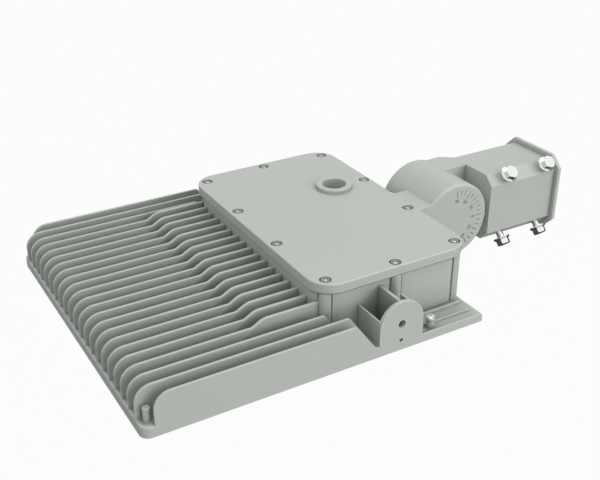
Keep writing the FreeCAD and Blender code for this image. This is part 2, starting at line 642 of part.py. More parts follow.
def housing_fins(body):
    """Raised fins in the middle and three low fins on each side.

    The outermost raised fins run on to meet the rounded corners of the box.
    """
    thick = "Sizes.fin_thickness + 2*Sizes.fin_swell"
    inner = "(Sizes.side_fins + 1)"
    start = "Sizes.fin_step_start"
    rear = "Sizes.box_front + Sizes.box_wall/2"
    fin = fin_at(body, "RaisedFin", raised_fin(start, rear), inner)
    swell = fin_at(body, "FinSwell", swollen_fin(start, rear), inner, thick)
    count = "Sizes.fin_count - 2*Sizes.side_fins - 2"
    repeat(body, [fin, swell], "Y_Axis", f"({count} - 1)*{FIN_PITCH}", count)
    end_rear = "Sizes.box_front + 2*Sizes.box_wall"
    end_fin = fin_at(body, "EndFin", raised_fin(start, end_rear), "Sizes.side_fins")
    end_swell = fin_at(body, "EndSwell", swollen_fin(start, end_rear), "Sizes.side_fins", thick)
    outer = low_fin("Sizes.outer_fin_start", "Sizes.outer_fin_end", "Sizes.side_rim_top")
    second = low_fin("Sizes.fin_inset", "Sizes.second_fin_end", "Sizes.second_rib_top")
    third = low_fin("Sizes.fin_inset", "Sizes.third_fin_end", "Sizes.third_rib_top")
    side_fins = [fin_at(body, "OuterFin", outer, "0"), fin_at(body, "SecondFin", second, "1"),
                 fin_at(body, "ThirdFin", third, "2")]
    mirror_across(body, [end_fin, end_swell] + side_fins)


def corner_meeting(along_inset, across_inset, turn):
    """How far inside the two faces of a rounded corner its column meets the wall."""
    radius = "Sizes.box_corner_radius"
    along, across = f"({radius} - {along_inset})", f"({radius} - {across_inset})"
    span = f"({along}^2 + {across}^2)"
    lead = f"(({span} + {radius}^2 - Sizes.column_radius^2)/(2*{span}))"
    lean = f"({turn}sqrt({radius}^2/{span} - {lead}^2))"
    return (f"({radius} - {lead}*{along} + {lean}*{across})",
            f"({radius} - {lead}*{across} - {lean}*{along})")


def column_groove_places():
    """Where columns stand out of the box: at its front corners, and further back."""
    chord = "sqrt(Sizes.column_radius^2 - Sizes.side_screw_inset^2)"
    middle = "Sizes.box_front + Sizes.side_screw_setback"
    nose = f"sqrt(Sizes.box_corner_radius^2 - (-{END_FIN} - {BOX_HALF} + Sizes.box_corner_radius)^2)"
    front = corner_meeting("Sizes.corner_screw_setback", "Sizes.corner_screw_inset", "")
    rear = [corner_meeting("Sizes.corner_screw_inset", "Sizes.corner_screw_inset", turn)
            for turn in ("-", "")]
    forward, further = [], []
    for side in ("-", ""):
        forward += [(f"Sizes.box_front + Sizes.box_corner_radius - {nose}", f"-({side}{END_FIN})"),
                    (f"Sizes.box_front + {front[0]}", f"{side}({BOX_HALF} - {front[1]})")]
        further += [(f"{middle} - {chord}", f"{side}{BOX_HALF}"),
                    (f"{middle} + {chord}", f"{side}{BOX_HALF}")]
        further += [(f"{BOX_REAR} - {along}", f"{side}({BOX_HALF} - {across})") for along, across in rear]
    return forward, further


def housing_box(body):
    """Walls of the driver box, the rear pad and the columns for the cover's screws."""
    walls = rectangle("Sizes.box_front", BOX_REAR, f"-{BOX_HALF}", BOX_HALF, "Sizes.box_corner_radius")
    pad(body, loop_sketch(body, "Walls", walls), "Sizes.rim_height")
    low, high = "Sizes.pivot_height - Sizes.neck_half_height", "Sizes.pad_top"
    rear_pad = rectangle(f"{NECK_MIDDLE} - Sizes.flange_half_width",
                         f"{NECK_MIDDLE} + Sizes.flange_half_width", low, high)
    pad(body, loop_sketch(body, "RearPad", rear_pad, "YZ", CAVITY_REAR),
        "Sizes.box_wall + Sizes.pad_depth")
    cavity = rectangle(CAVITY_FRONT, CAVITY_REAR, f"-({CAVITY_HALF})", CAVITY_HALF,
                       "Sizes.box_corner_radius - Sizes.box_wall")
    pocket(body, loop_sketch(body, "Cavity", cavity, level="Sizes.rim_height"),
           "Sizes.rim_height - Sizes.floor_thickness")
    columns = new_sketch(body, "Columns")
    for across, up in cover_screw_places():
        add_circle(columns, across, up, "Sizes.column_radius")
    pad(body, columns, "Sizes.rim_height")
    holes = new_sketch(body, "ColumnHoles", level="Sizes.rim_height")
    for across, up in cover_screw_places():
        add_circle(holes, across, up, SCREW_TAP)
    pocket(body, holes, "Sizes.screw_hole_depth")
    names, ends = ("FrontGrooves", "RearGrooves"), ("Sizes.plate_top", "Sizes.floor_thickness")
    for name, end, places in zip(names, ends, column_groove_places()):
        grooves = new_sketch(body, name, level="Sizes.rim_height")
        for across, up in places:
            add_circle(grooves, across, up, "Sizes.groove_radius")
        pocket(body, grooves, f"Sizes.rim_height - {end}")


def ear_plate(body):
    """A plate with a round top and two holes on the near side."""
    sketch = new_sketch(body, "Ear", "XZ", f"-{HALF_WIDTH}")
    left, right = "Sizes.ear_place - Sizes.ear_radius", "Sizes.ear_place + Sizes.ear_radius"
    low, centre = Vector(value(left), 0, 0), Vector(value("Sizes.ear_place"), value("Sizes.ear_height"), 0)
    radius = value("Sizes.ear_radius")
    low_right = Vector(value(right), 0, 0)
    high_left, high_right = centre - Vector(radius, 0, 0), centre + Vector(radius, 0, 0)
    bottom = sketch.addGeometry(Part.LineSegment(low, low_right), False)
    rear = sketch.addGeometry(Part.LineSegment(low_right, high_right), False)
    circle = Part.Circle(centre, Vector(0, 0, 1), radius)
    top = sketch.addGeometry(Part.ArcOfCircle(circle, 0, circle.parameter(high_left)), False)
    front = sketch.addGeometry(Part.LineSegment(high_left, low), False)
    sketch.addConstraint(Sketcher.Constraint("Coincident", bottom, 2, rear, 1))
    sketch.addConstraint(Sketcher.Constraint("Tangent", rear, 2, top, 1))
    sketch.addConstraint(Sketcher.Constraint("Tangent", top, 2, front, 1))
    sketch.addConstraint(Sketcher.Constraint("Coincident", front, 2, bottom, 1))
    pin_point(sketch, top, 3, "Sizes.ear_place", "Sizes.ear_height")
    hold_radius(sketch, top, "Sizes.ear_radius")
    pin_point(sketch, bottom, 1, left, "0")
    pin_point(sketch, bottom, 2, right, "0")
    return pad(body, sketch, "Sizes.ear_thickness")


def ear_web(body, name, place, thickness, top, reach):
    """An upright web that runs inwards from the ear."""
    start = f"-{HALF_WIDTH} + Sizes.ear_thickness/2"
    corners = rectangle(start, reach, "Sizes.floor_thickness/2", top)
    sketch = loop_sketch(body, name, corners, "YZ", place)
    return pad(body, sketch, thickness, both=True)


def housing_ears(body):
    """Drilled ears on both sides, with webs that leave room for a bolt end."""
    box_side = f"-({BOX_HALF} - Sizes.box_wall/2)"
    front_web = "Sizes.ear_place - Sizes.ear_radius + Sizes.web_thickness/2"
    floor = "Sizes.floor_thickness/2"
    relieved = f"-{HALF_WIDTH} + Sizes.ear_thickness + Sizes.ear_relief_depth"
    mid_web = [(relieved, floor), (box_side, floor), (box_side, "Sizes.mid_web_top"),
               (f"-{HALF_WIDTH} + Sizes.ear_thickness/2", "Sizes.mid_web_top"),
               (f"-{HALF_WIDTH} + Sizes.ear_thickness/2", "Sizes.ear_relief_top"),
               (relieved, "Sizes.ear_relief_top")]
    short_reach = f"-{HALF_WIDTH} + Sizes.ear_thickness + Sizes.short_web_reach"
    short_place = "Sizes.ear_place + Sizes.short_web_place"
    features = [
        ear_plate(body),
        ear_web(body, "FrontWeb", front_web, "Sizes.web_thickness", "Sizes.web_top", box_side),
        pad(body, loop_sketch(body, "MidWeb", mid_web, "YZ", "Sizes.ear_place"),
            "Sizes.mid_web_thickness", both=True),
        ear_web(body, "ShortWeb", short_place, "Sizes.short_web_thickness",
                "Sizes.short_web_top", short_reach),
    ]
    holes = new_sketch(body, "EarHoles", "XZ", f"-{HALF_WIDTH}")
    add_circle(holes, "Sizes.ear_place", "Sizes.ear_height", "Sizes.ear_hole_radius")
    add_circle(holes, "Sizes.ear_place", "Sizes.ear_small_hole_height", "Sizes.ear_small_hole_radius")
    drilled = pocket(body, holes, "Sizes.ear_thickness", forward=True)
    mirror_across(body, features + [drilled])


def housing_small_forms(body):
    """Posts, grounding boss, pillars under the driver and every small hole."""
    posts = new_sketch(body, "Posts", level=FIN_ROOT)
    for side in ("-", ""):
        add_circle(posts, "Sizes.post_setback", f"{side}({HALF_WIDTH} - Sizes.post_inset)",
                   "Sizes.post_radius")
    pad(body, posts, f"Sizes.post_top - ({FIN_ROOT})")
    low_posts = new_sketch(body, "LowPosts", level=FIN_ROOT)
    for gaps in LOW_POST_GAPS:
        for side in ("-", ""):
            add_circle(low_posts, "Sizes.post_setback", f"{side}{gaps}*{FIN_PITCH}", "Sizes.low_post_radius")
    pad(body, low_posts, f"Sizes.low_post_top - ({FIN_ROOT})")
    ground_y = f"-({HALF_WIDTH} - Sizes.ground_inset)"
    boss = new_sketch(body, "GroundBoss", level="Sizes.floor_thickness/2")
    add_circle(boss, GROUND_PLACE, ground_y, "Sizes.ground_boss_radius")
    pad(body, boss, "Sizes.ground_boss_top - Sizes.floor_thickness/2")
    tap = new_sketch(body, "GroundTap", level="Sizes.ground_boss_top")
    add_circle(tap, GROUND_PLACE, ground_y, "Sizes.ground_screw_radius + Sizes.thread_clearance")
    pocket(body, tap, "Sizes.ground_screw_length + Sizes.cut_past")
    pillars = new_sketch(body, "Pillars", level="Sizes.floor_thickness/2")
    for across, up in inner_screw_places():
        add_circle(pillars, across, up, "Sizes.pillar_radius")
    pad(body, pillars, "Sizes.floor_thickness/2 + Sizes.pillar_height")
    pillar_taps = new_sketch(body, "PillarTaps", level="Sizes.floor_thickness + Sizes.pillar_height")
    for across, up in inner_screw_places():
        add_circle(pillar_taps, across, up, "Sizes.inner_screw_radius + Sizes.thread_clearance")
    pocket(body, pillar_taps, "Sizes.inner_screw_length")
    lead_hole = new_sketch(body, "LeadHole", level="Sizes.floor_thickness")
    add_circle(lead_hole, LEAD_HOLE, LEAD_HOLE_SIDE, "Sizes.lead_hole_radius")
    pocket(body, lead_hole, "Sizes.floor_thickness")
    groove = rectangle(f"{RECESS_END} - Sizes.cut_past", LEAD_HOLE,
                       f"{LEAD_HOLE_SIDE} - Sizes.lead_groove_width/2",
                       f"{LEAD_HOLE_SIDE} + Sizes.lead_groove_width/2")
    pocket(body, loop_sketch(body, "LeadGroove", groove), "Sizes.lead_groove_depth", forward=True)


def housing_rear_holes(body):
    """Wire passage, knuckle bolt holes and breather hole through the rear wall."""
    back = "Sizes.base_length + Sizes.pad_depth"
    holes = new_sketch(body, "RearHoles", "YZ", back)
    add_circle(holes, NECK_MIDDLE, "Sizes.pivot_height", "Sizes.passage_radius")
    for across, up in knuckle_bolt_places():
        add_circle(holes, across, f"Sizes.pivot_height + {up}",
                   "Sizes.knuckle_bolt_radius + Sizes.hole_clearance")
    add_circle(holes, "Sizes.vent_side", "Sizes.vent_height", "Sizes.vent_radius + Sizes.hole_clearance")
    pocket(body, holes, "Sizes.box_wall + Sizes.pad_depth")


def housing_module_taps(body):
    """Tapped holes for the lens and board screws in the ceiling of the recess."""
    taps = new_sketch(body, "ModuleTaps", level="Sizes.recess_depth")
    radius = "Sizes.module_screw_radius + Sizes.thread_clearance"
    for across, up in lens_screw_places() + board_screw_places():
        add_circle(taps, across, up, radius)
    pocket(body, taps, "Sizes.module_screw_bite + Sizes.thread_clearance", forward=True)


def make_housing():
    body = new_body("heat_sink_housing", HEAD)
    housing_plate(body)
    housing_box(body)
    housing_ears(body)
    housing_small_forms(body)
    housing_rear_holes(body)
    housing_fins(body)
    housing_module_taps(body)
    return body


# Cover with its gasket, screws and sensor port


def make_gasket():
    """A flat ring that follows the rim of the driver box."""
    body = new_body("cover_gasket", HEAD)
    inset = "Sizes.gasket_inset"
    outer = rectangle(f"{COVER_FRONT} + {inset}", f"{COVER_REAR} - {inset}",
                      f"-({COVER_HALF} - {inset})", f"{COVER_HALF} - {inset}",
                      f"Sizes.cover_corner_radius - {inset}")
    sketch = loop_sketch(body, "Ring", outer, level="Sizes.rim_height")
    add_loop(sketch, cover_pocket_corners())
    pad(body, sketch, "Sizes.gasket_thickness")
    holes = new_sketch(body, "RingHoles", level=COVER_BOTTOM)
    for across, up in cover_screw_places():
        add_circle(holes, across, up, SCREW_HOLE)
    pocket(body, holes, "Sizes.gasket_thickness")
    return body


def cover_pocket_corners():
    side = f"{COVER_HALF} - Sizes.cover_rim"
    return rectangle(f"{COVER_FRONT} + Sizes.cover_rim_front", f"{COVER_REAR} - Sizes.cover_rim_front",
                     f"-({side})", side, "Sizes.cover_pocket_radius")


def make_cover():
    """A shallow lid, hollow below, with ten screw recesses and a port ring."""
    body = new_body("driver_cover", HEAD)
    outer = rectangle(COVER_FRONT, COVER_REAR, f"-({COVER_HALF})", COVER_HALF, "Sizes.cover_corner_radius")
    slab = pad(body, loop_sketch(body, "Lid", outer, level=COVER_BOTTOM), "Sizes.cover_height")
    doc.recompute()
    top = value(COVER_TOP)
    upper = [f"Edge{index}" for index, edge in enumerate(slab.Shape.Edges, start=1)
             if edge.BoundBox.ZMin > top - 0.01]
    edge_round = body.newObject("PartDesign::Fillet", "LidEdge")
    edge_round.Base = (slab, upper)
    edge_round.setExpression("Radius", "Sizes.cover_edge_radius")
    hollow = loop_sketch(body, "Hollow", cover_pocket_corners(), level=COVER_BOTTOM)
    pocket(body, hollow, "Sizes.cover_height - Sizes.cover_skin", forward=True)
    ring = new_sketch(body, "PortRing", level=COVER_BOTTOM)
    add_circle(ring, PORT_PLACE, "Sizes.port_side", "Sizes.port_outer_radius")
    pad(body, ring, "Sizes.cover_height + Sizes.port_ring_height")
    bore = new_sketch(body, "PortBore", level=f"{COVER_TOP} + Sizes.port_ring_height")
    add_circle(bore, PORT_PLACE, "Sizes.port_side", "Sizes.port_radius")
    pocket(body, bore, "Sizes.cover_height + Sizes.port_ring_height")
    taps = new_sketch(body, "PortTaps", level=COVER_BOTTOM)
    for across, up in port_screw_places():
        add_circle(taps, across, up, "Sizes.port_screw_radius + Sizes.thread_clearance")
    grip = "Sizes.plug_flange_thickness + Sizes.port_seal_thickness"
    pocket(body, taps, f"Sizes.port_screw_length - ({grip}) + Sizes.cut_past", forward=True)
    recesses = new_sketch(body, "ScrewRecesses", level=COVER_TOP)
    holes = new_sketch(body, "ScrewHoles", level=COVER_TOP)
    for across, up in cover_screw_places():
        add_circle(recesses, across, up, SCREW_RECESS)
        add_circle(holes, across, up, SCREW_HOLE)
    pocket(body, recesses, "Sizes.screw_recess_depth")
    pocket(body, holes, "Sizes.cover_height")
    return body


def make_cover_screws():
    """Ten socket head screws, their heads sunk in the cover."""
    head_bottom = f"{COVER_TOP} - Sizes.screw_recess_depth"
    screws = []
    for index, (across, up) in enumerate(cover_screw_places()):
        head = rod(f"CoverScrewHead{index}", (across, up, head_bottom),
                   "Sizes.screw_head_radius", "Sizes.screw_head_height")
        shank = rod(f"CoverScrewShank{index}", (across, up, f"{head_bottom} - Sizes.screw_length"),
                    "Sizes.screw_radius", "Sizes.screw_length")
        floor = f"{head_bottom} + Sizes.screw_head_height - Sizes.screw_socket_depth"
        socket = hexagon_rod(f"CoverScrewSocket{index}", (across, up, floor),
                             "Sizes.screw_socket_flat", "Sizes.screw_socket_depth")
        whole = fuse(f"CoverScrewWhole{index}", [head, shank])
        screws.append(cut(f"CoverScrew{index}", whole, socket))
    return group("cover_screws", screws, HEAD)


def port_screw_places():
    return [(PORT_PLACE, f"Sizes.port_side {sign} Sizes.port_screw_place") for sign in "-+"]


def make_port_plug():
    """A blank plug that closes the sensor port from below."""
    body = new_body("sensor_port_plug", HEAD)
    flange_top = f"{COVER_BOTTOM} - Sizes.port_seal_thickness"
    flange = new_sketch(body, "Flange", level=f"{flange_top} - Sizes.plug_flange_thickness")
    add_circle(flange, PORT_PLACE, "Sizes.port_side", "Sizes.port_outer_radius")
    pad(body, flange, "Sizes.plug_flange_thickness")
    spigot = new_sketch(body, "Spigot", level=flange_top)
    add_circle(spigot, PORT_PLACE, "Sizes.port_side", "Sizes.port_radius - Sizes.plug_clearance")
    pad(body, spigot, "Sizes.port_seal_thickness")
    holes = new_sketch(body, "PlugHoles", level=flange_top)
    for across, up in port_screw_places():
        add_circle(holes, across, up, "Sizes.port_screw_radius + Sizes.hole_clearance")
    pocket(body, holes, "Sizes.plug_flange_thickness")
    return body


def make_port_seal():
    """A flat ring between the plug's flange and the cover's port ring."""
    body = new_body("sensor_port_seal", HEAD)
    sketch = new_sketch(body, "Seal", level=f"{COVER_BOTTOM} - Sizes.port_seal_thickness")
    add_circle(sketch, PORT_PLACE, "Sizes.port_side", "Sizes.port_outer_radius")
    add_circle(sketch, PORT_PLACE, "Sizes.port_side", "Sizes.port_radius + Sizes.port_seal_inset")
    for across, up in port_screw_places():
        add_circle(sketch, across, up, "Sizes.port_screw_radius + Sizes.hole_clearance")
    pad(body, sketch, "Sizes.port_seal_thickness")
    return body


def make_port_screws():
    """Two small screws up through the plug's flange."""
    under = f"{COVER_BOTTOM} - Sizes.port_seal_thickness - Sizes.plug_flange_thickness"
    screws = []
    for index, (across, up) in enumerate(port_screw_places()):
        head = rod(f"PortScrewHead{index}", (across, up, f"{under} - Sizes.port_screw_head_height"),
                   "Sizes.port_screw_head_radius", "Sizes.port_screw_head_height")
        shank = rod(f"PortScrewShank{index}", (across, up, under),
                    "Sizes.port_screw_radius", "Sizes.port_screw_length")
        screws.append(fuse(f"PortScrew{index}", [head, shank]))
    return group("sensor_port_screws", screws, HEAD)


# Grounding point


def make_ground_screw():
    """A slotted round-headed screw in the grounding boss."""
    across, up = GROUND_PLACE, f"-({HALF_WIDTH} - Sizes.ground_inset)"
    seat_height = "Sizes.ground_boss_top + Sizes.washer_thickness"
    head = rod("GroundHead", (across, up, seat_height), "Sizes.ground_head_radius",
               "Sizes.ground_head_height")
    shank = rod("GroundShank", (across, up, f"{seat_height} - Sizes.ground_screw_length"),
                "Sizes.ground_screw_radius", "Sizes.ground_screw_length")
    slot = block("GroundSlot", (f"{across} - Sizes.ground_head_radius",
                                f"{up} - Sizes.ground_slot_width/2",
                                f"{seat_height} + Sizes.ground_head_height - Sizes.ground_slot_depth"),
                 "2*Sizes.ground_head_radius", "Sizes.ground_slot_width", "Sizes.ground_slot_depth")
    screw = cut("ground_screw", fuse("GroundWhole", [head, shank]), slot)
    return seat(screw, HEAD)


def make_ground_washer():
    across, up = GROUND_PLACE, f"-({HALF_WIDTH} - Sizes.ground_inset)"
    place = (across, up, "Sizes.ground_boss_top")
    disc = rod("WasherDisc", place, "Sizes.washer_radius", "Sizes.washer_thickness")
    hole = rod("WasherHole", place, "Sizes.ground_screw_radius + Sizes.hole_clearance",
               "Sizes.washer_thickness")
    return seat(cut("ground_washer", disc, hole), HEAD)


# Knuckle: the half that is bolted to the housing, in the pivot frame


def knuckle_bolt_places():
    """The four bolts round the wire passage: across, and up from the tilt axis."""
    return [(f"{NECK_MIDDLE} {side} Sizes.knuckle_bolt_side", f"{rise}Sizes.knuckle_bolt_rise")
            for side in "-+" for rise in ("-", "")]


def make_knuckle_base():
    """Flange, neck and the near half of the knuckle, with its dial."""
    body = new_body("knuckle_base", PIVOT)
    near = "-Sizes.neck_near"
    flange_near = f"{NECK_MIDDLE} - Sizes.flange_half_width"
    flange_far = f"{NECK_MIDDLE} + Sizes.flange_half_width"
    front = f"{FLANGE_BACK} + Sizes.flange_depth"
    inner = "-Sizes.drum_radius/2"
    plan = [(FLANGE_BACK, flange_near), (front, flange_near), (front, near, "Sizes.neck_fillet"),
            (inner, near), (inner, "Sizes.seam_near"), (front, "Sizes.seam_near", "Sizes.neck_fillet"),
            (front, flange_far), (FLANGE_BACK, flange_far)]
    pad(body, loop_sketch(body, "Neck", plan), "2*Sizes.neck_half_height", both=True)
    bevel = "Sizes.drum_bevel"
    drum = [("0", near), (f"Sizes.drum_radius - {bevel}", near), ("Sizes.drum_radius", f"{near} + {bevel}"),
            ("Sizes.drum_radius", "Sizes.seam_near"), ("0", "Sizes.seam_near")]
    turn(body, loop_sketch(body, "Drum", drum))
    hollow = rectangle("Sizes.boss_radius", "Sizes.drum_radius - Sizes.drum_wall",
                       f"{near} + Sizes.drum_wall", "Sizes.seam_near")
    turn(body, loop_sketch(body, "DrumHollow", hollow), cut=True)
    tap = rectangle("0", "Sizes.pivot_bolt_radius + Sizes.thread_clearance",
                    "Sizes.seam_near - Sizes.pivot_bolt_reach - Sizes.cut_past", "Sizes.seam_near")
    turn(body, loop_sketch(body, "PivotTap", tap), cut=True)
    passage = new_sketch(body, "Passage", "YZ", FLANGE_BACK)
    add_circle(passage, NECK_MIDDLE, "0", "Sizes.passage_radius")
    pocket(body, passage, f"-({FLANGE_BACK}) - Sizes.boss_radius - Sizes.drum_wall", forward=True)
    taps = new_sketch(body, "KnuckleTaps", "YZ", FLANGE_BACK)
    for across, up in knuckle_bolt_places():
        add_circle(taps, across, up, "Sizes.knuckle_bolt_radius + Sizes.thread_clearance")
    grip = "Sizes.box_wall + Sizes.pad_depth + Sizes.gasket_thickness"
    pocket(body, taps, f"Sizes.knuckle_bolt_length - ({grip}) + Sizes.cut_past", forward=True)
    cut_dial(body)
    return body


def cut_dial(body):
    """Ticks every ten degrees round the fitter's side of the dial face."""
    face = "-Sizes.neck_near"
    steps = int(value("Sizes.tick_count"))
    sketch = new_sketch(body, "Ticks", "XZ", face)
    for index in range(steps):
        angle = f"(90 - {index}*180/(Sizes.tick_count - 1))*1deg"
        length = "Sizes.tick_long" if index % 3 == 0 else "Sizes.tick_short"
        outer, half = "Sizes.tick_outer_radius", "Sizes.tick_width/2"
        corners = []
        for along, side in ((f"({outer} - {length})", "-"), (outer, "-"),
                            (outer, "+"), (f"({outer} - {length})", "+")):
            other = "+" if side == "-" else "-"
            corners.append((f"{along}*cos({angle}) {other} {half}*sin({angle})",
                            f"{along}*sin({angle}) {side} {half}*cos({angle})"))
        add_loop(sketch, corners)
    pocket(body, sketch, "Sizes.tick_depth", forward=True)


def make_knuckle_gasket():
    """A flat gasket between the rear pad and the knuckle's flange."""
    body = new_body("knuckle_gasket", PIVOT)
    low, high = "-Sizes.neck_half_height", "Sizes.pad_top - Sizes.pivot_height"
    corners = rectangle(f"{NECK_MIDDLE} - Sizes.flange_half_width",
                        f"{NECK_MIDDLE} + Sizes.flange_half_width", low, high)
    start = f"{FLANGE_BACK} - Sizes.gasket_thickness"
    sketch = loop_sketch(body, "Sheet", corners, "YZ", start)
    add_circle(sketch, NECK_MIDDLE, "0", "Sizes.passage_radius")
    for across, up in knuckle_bolt_places():
        add_circle(sketch, across, up, "Sizes.knuckle_bolt_radius + Sizes.hole_clearance")
    pad(body, sketch, "Sizes.gasket_thickness")
    return body


def make_knuckle_bolts():
    """Four hexagon bolts from inside the driver box."""
    inner_face = f"-Sizes.pivot_from_wall - Sizes.box_wall"
    bolts = []
    for index, (across, up) in enumerate(knuckle_bolt_places()):
        head = hexagon_rod(f"KnuckleBoltHead{index}", (f"{inner_face} - Sizes.knuckle_bolt_head", across, up),
                           "Sizes.knuckle_bolt_flat", "Sizes.knuckle_bolt_head", "X")
        shank = rod(f"KnuckleBoltShank{index}", (inner_face, across, up), "Sizes.knuckle_bolt_radius",
                    "Sizes.knuckle_bolt_length", "X")
        bolts.append(fuse(f"KnuckleBolt{index}", [head, shank]))
    return group("knuckle_bolts", bolts, PIVOT)


# Fitter: the half that stays on the pole, with its arm and tenon socket


def octagon(half_width, half_height, chamfer, middle="Sizes.pivot_drop"):
    """Corners of a rectangle with cut corners, anticlockwise in the YZ plane."""
    wide, high = f"({half_width})", f"({half_height})"
    return [(f"-{wide} + {chamfer}", f"{middle} - {high}"), (f"{wide} - {chamfer}", f"{middle} - {high}"),
            (wide, f"{middle} - {high} + {chamfer}"), (wide, f"{middle} + {high} - {chamfer}"),
            (f"{wide} - {chamfer}", f"{middle} + {high}"), (f"-{wide} + {chamfer}", f"{middle} + {high}"),
            (f"-{wide}", f"{middle} + {high} - {chamfer}"), (f"-{wide}", f"{middle} - {high} + {chamfer}")]


def arm_section(far, chamfer):
    """The arm across its length, with cut corners on the far side only."""
    low = "Sizes.pivot_drop - Sizes.body_half_height"
    high = "Sizes.pivot_drop + Sizes.body_half_height"
    return [(SEAM_FAR, low), (f"{far} - {chamfer}", low), (far, f"{low} + {chamfer}"),
            (far, f"{high} - {chamfer}"), (f"{far} - {chamfer}", high), (SEAM_FAR, high)]


def fitter_arm(body):
    """The straight arm beside the knuckle and its blend into the body."""
    straight = arm_section("Sizes.arm_far", "Sizes.drum_bevel")
    pad(body, loop_sketch(body, "Arm", straight, "YZ"), "Sizes.arm_blend_start")
    first = loop_sketch(body, "BlendStart", straight, "YZ", "Sizes.arm_blend_start")
    ending = arm_section("Sizes.body_half_width", "Sizes.body_chamfer")
    last = loop_sketch(body, "BlendEnd", ending, "YZ", "Sizes.arm_blend_start + Sizes.arm_blend_length")
    loft = body.newObject("PartDesign::AdditiveLoft", "Blend")
    loft.Profile = first
    loft.Sections = [last]
    loft.Ruled = True


def clamp_places():
    """Each clamp bolt: its place along the fitter and its side, up or down."""
    places = []
    for rise in (1, -1):
        for step in (0, 1):
            along = f"Sizes.pivot_setback - Sizes.clamp_first - {step}*Sizes.clamp_spacing"
            places.append((along, rise))
    return places


def clamp_rod(name, along, rise, start, radius, length, flats=None):
    """A rod or hexagon that points out of a near chamfer, from a distance off the socket axis."""
    place = (along, f"-({start})/sqrt(2)", f"Sizes.pivot_drop + {rise}*({start})/sqrt(2)")
    if flats is None:
        piece = rod(name, place, radius, length)
    else:
        piece = hexagon_rod(name, place, flats, length)
    piece.Placement.Rotation = Rotation(Vector(0, 0, 1), Vector(0, -1, rise))
    return piece


def make_slip_fitter():
    """Body, end lip, arm and the far half of the knuckle."""
    body = new_body("FitterCasting", ("0", "0", "0"))
    mouth = "Sizes.pivot_setback"
    outline = octagon("Sizes.body_half_width", "Sizes.body_half_height", "Sizes.body_chamfer")
    pad(body, loop_sketch(body, "Shell", outline, "YZ", "Sizes.body_start"),
        f"{mouth} - Sizes.body_start")
    lip = octagon("Sizes.body_half_width + Sizes.lip_offset",
                  "Sizes.body_half_height + Sizes.lip_offset", "Sizes.lip_chamfer")
    pad(body, loop_sketch(body, "Lip", lip, "YZ", f"{mouth} - Sizes.lip_thickness"),
        "Sizes.lip_thickness")
    fitter_arm(body)
    bevel = "Sizes.drum_bevel"
    drum = [("0", SEAM_FAR), ("Sizes.drum_radius", SEAM_FAR),
            ("Sizes.drum_radius", f"Sizes.arm_far - {bevel}"),
            (f"Sizes.drum_radius - {bevel}", "Sizes.arm_far"), ("0", "Sizes.arm_far")]
    turn(body, loop_sketch(body, "FarDrum", drum))
    hollow = rectangle("Sizes.boss_radius", "Sizes.drum_radius - Sizes.drum_wall",
                       SEAM_FAR, "Sizes.arm_far - Sizes.drum_wall")
    turn(body, loop_sketch(body, "FarHollow", hollow), cut=True)
    bolt_way = rectangle("0", "Sizes.pivot_bolt_radius + Sizes.pivot_clearance", SEAM_FAR, "Sizes.arm_far")
    turn(body, loop_sketch(body, "BoltWay", bolt_way), cut=True)
    recess_floor = "Sizes.arm_far - Sizes.pivot_washer_thickness - Sizes.pivot_bolt_head"
    bolt_recess = rectangle("0", "Sizes.pivot_washer_radius + Sizes.pivot_recess_gap", recess_floor,
                            "Sizes.arm_far")
    turn(body, loop_sketch(body, "BoltRecess", bolt_recess), cut=True)
    bore = new_sketch(body, "Socket", "YZ", mouth)
    add_circle(bore, "0", "Sizes.pivot_drop", "Sizes.socket_radius")
    pocket(body, bore, "Sizes.socket_depth")
    passage_start = f"{mouth} - Sizes.socket_depth + Sizes.cut_past"
    passage = new_sketch(body, "FitterPassage", "YZ", passage_start)
    add_circle(passage, "Sizes.fitter_passage_side", "0", "Sizes.passage_radius")
    pocket(body, passage, f"{passage_start} - Sizes.drum_radius + 2*Sizes.drum_wall")
    drills = []
    for index, (along, rise) in enumerate(clamp_places()):
        drills.append(clamp_rod(f"ClampDrill{index}", along, rise, "Sizes.socket_radius/2",
                                "Sizes.clamp_radius + Sizes.thread_clearance", "Sizes.body_half_width"))
    fitter = cut("slip_fitter", body, fuse("ClampDrills", drills))
    return seat(fitter, PIVOT)


def make_clamp_bolts(label, wanted_rise):
    """Two flanged hexagon bolts that clamp the tenon."""
    bolts = []
    tip = "(Sizes.socket_radius + Sizes.clamp_tip_gap)"
    flange = f"({CHAMFER_FACE} + Sizes.clamp_stand_off)"
    for index, (along, rise) in enumerate(clamp_places()):
        if rise != wanted_rise:
            continue
        shank = clamp_rod(f"ClampShank{index}", along, rise, tip, "Sizes.clamp_radius",
                          f"{flange} - {tip}")
        disc = clamp_rod(f"ClampFlange{index}", along, rise, flange, "Sizes.clamp_flange_radius",
                         "Sizes.clamp_flange_thickness")
        head = clamp_rod(f"ClampHead{index}", along, rise, f"{flange} + Sizes.clamp_flange_thickness",
                         None, "Sizes.clamp_head", "Sizes.clamp_flat")
        bolts.append(fuse(f"ClampBolt{index}", [shank, disc, head]))
    return group(label, bolts, PIVOT)


def make_pivot_bolt():
    """The bolt on the tilt axis, its head sunk in the far face."""
    under_head = "Sizes.arm_far - Sizes.pivot_bolt_head"
    tip = "Sizes.seam_near - Sizes.pivot_bolt_reach"
    head = hexagon_rod("PivotHead", ("0", under_head, "0"), "Sizes.pivot_bolt_flat",
                       "Sizes.pivot_bolt_head", "Y")
    shank = rod("PivotShank", ("0", tip, "0"), "Sizes.pivot_bolt_radius", f"{under_head} - ({tip})", "Y")
    bolt = fuse("pivot_bolt", [shank, head])
    return seat(bolt, PIVOT)


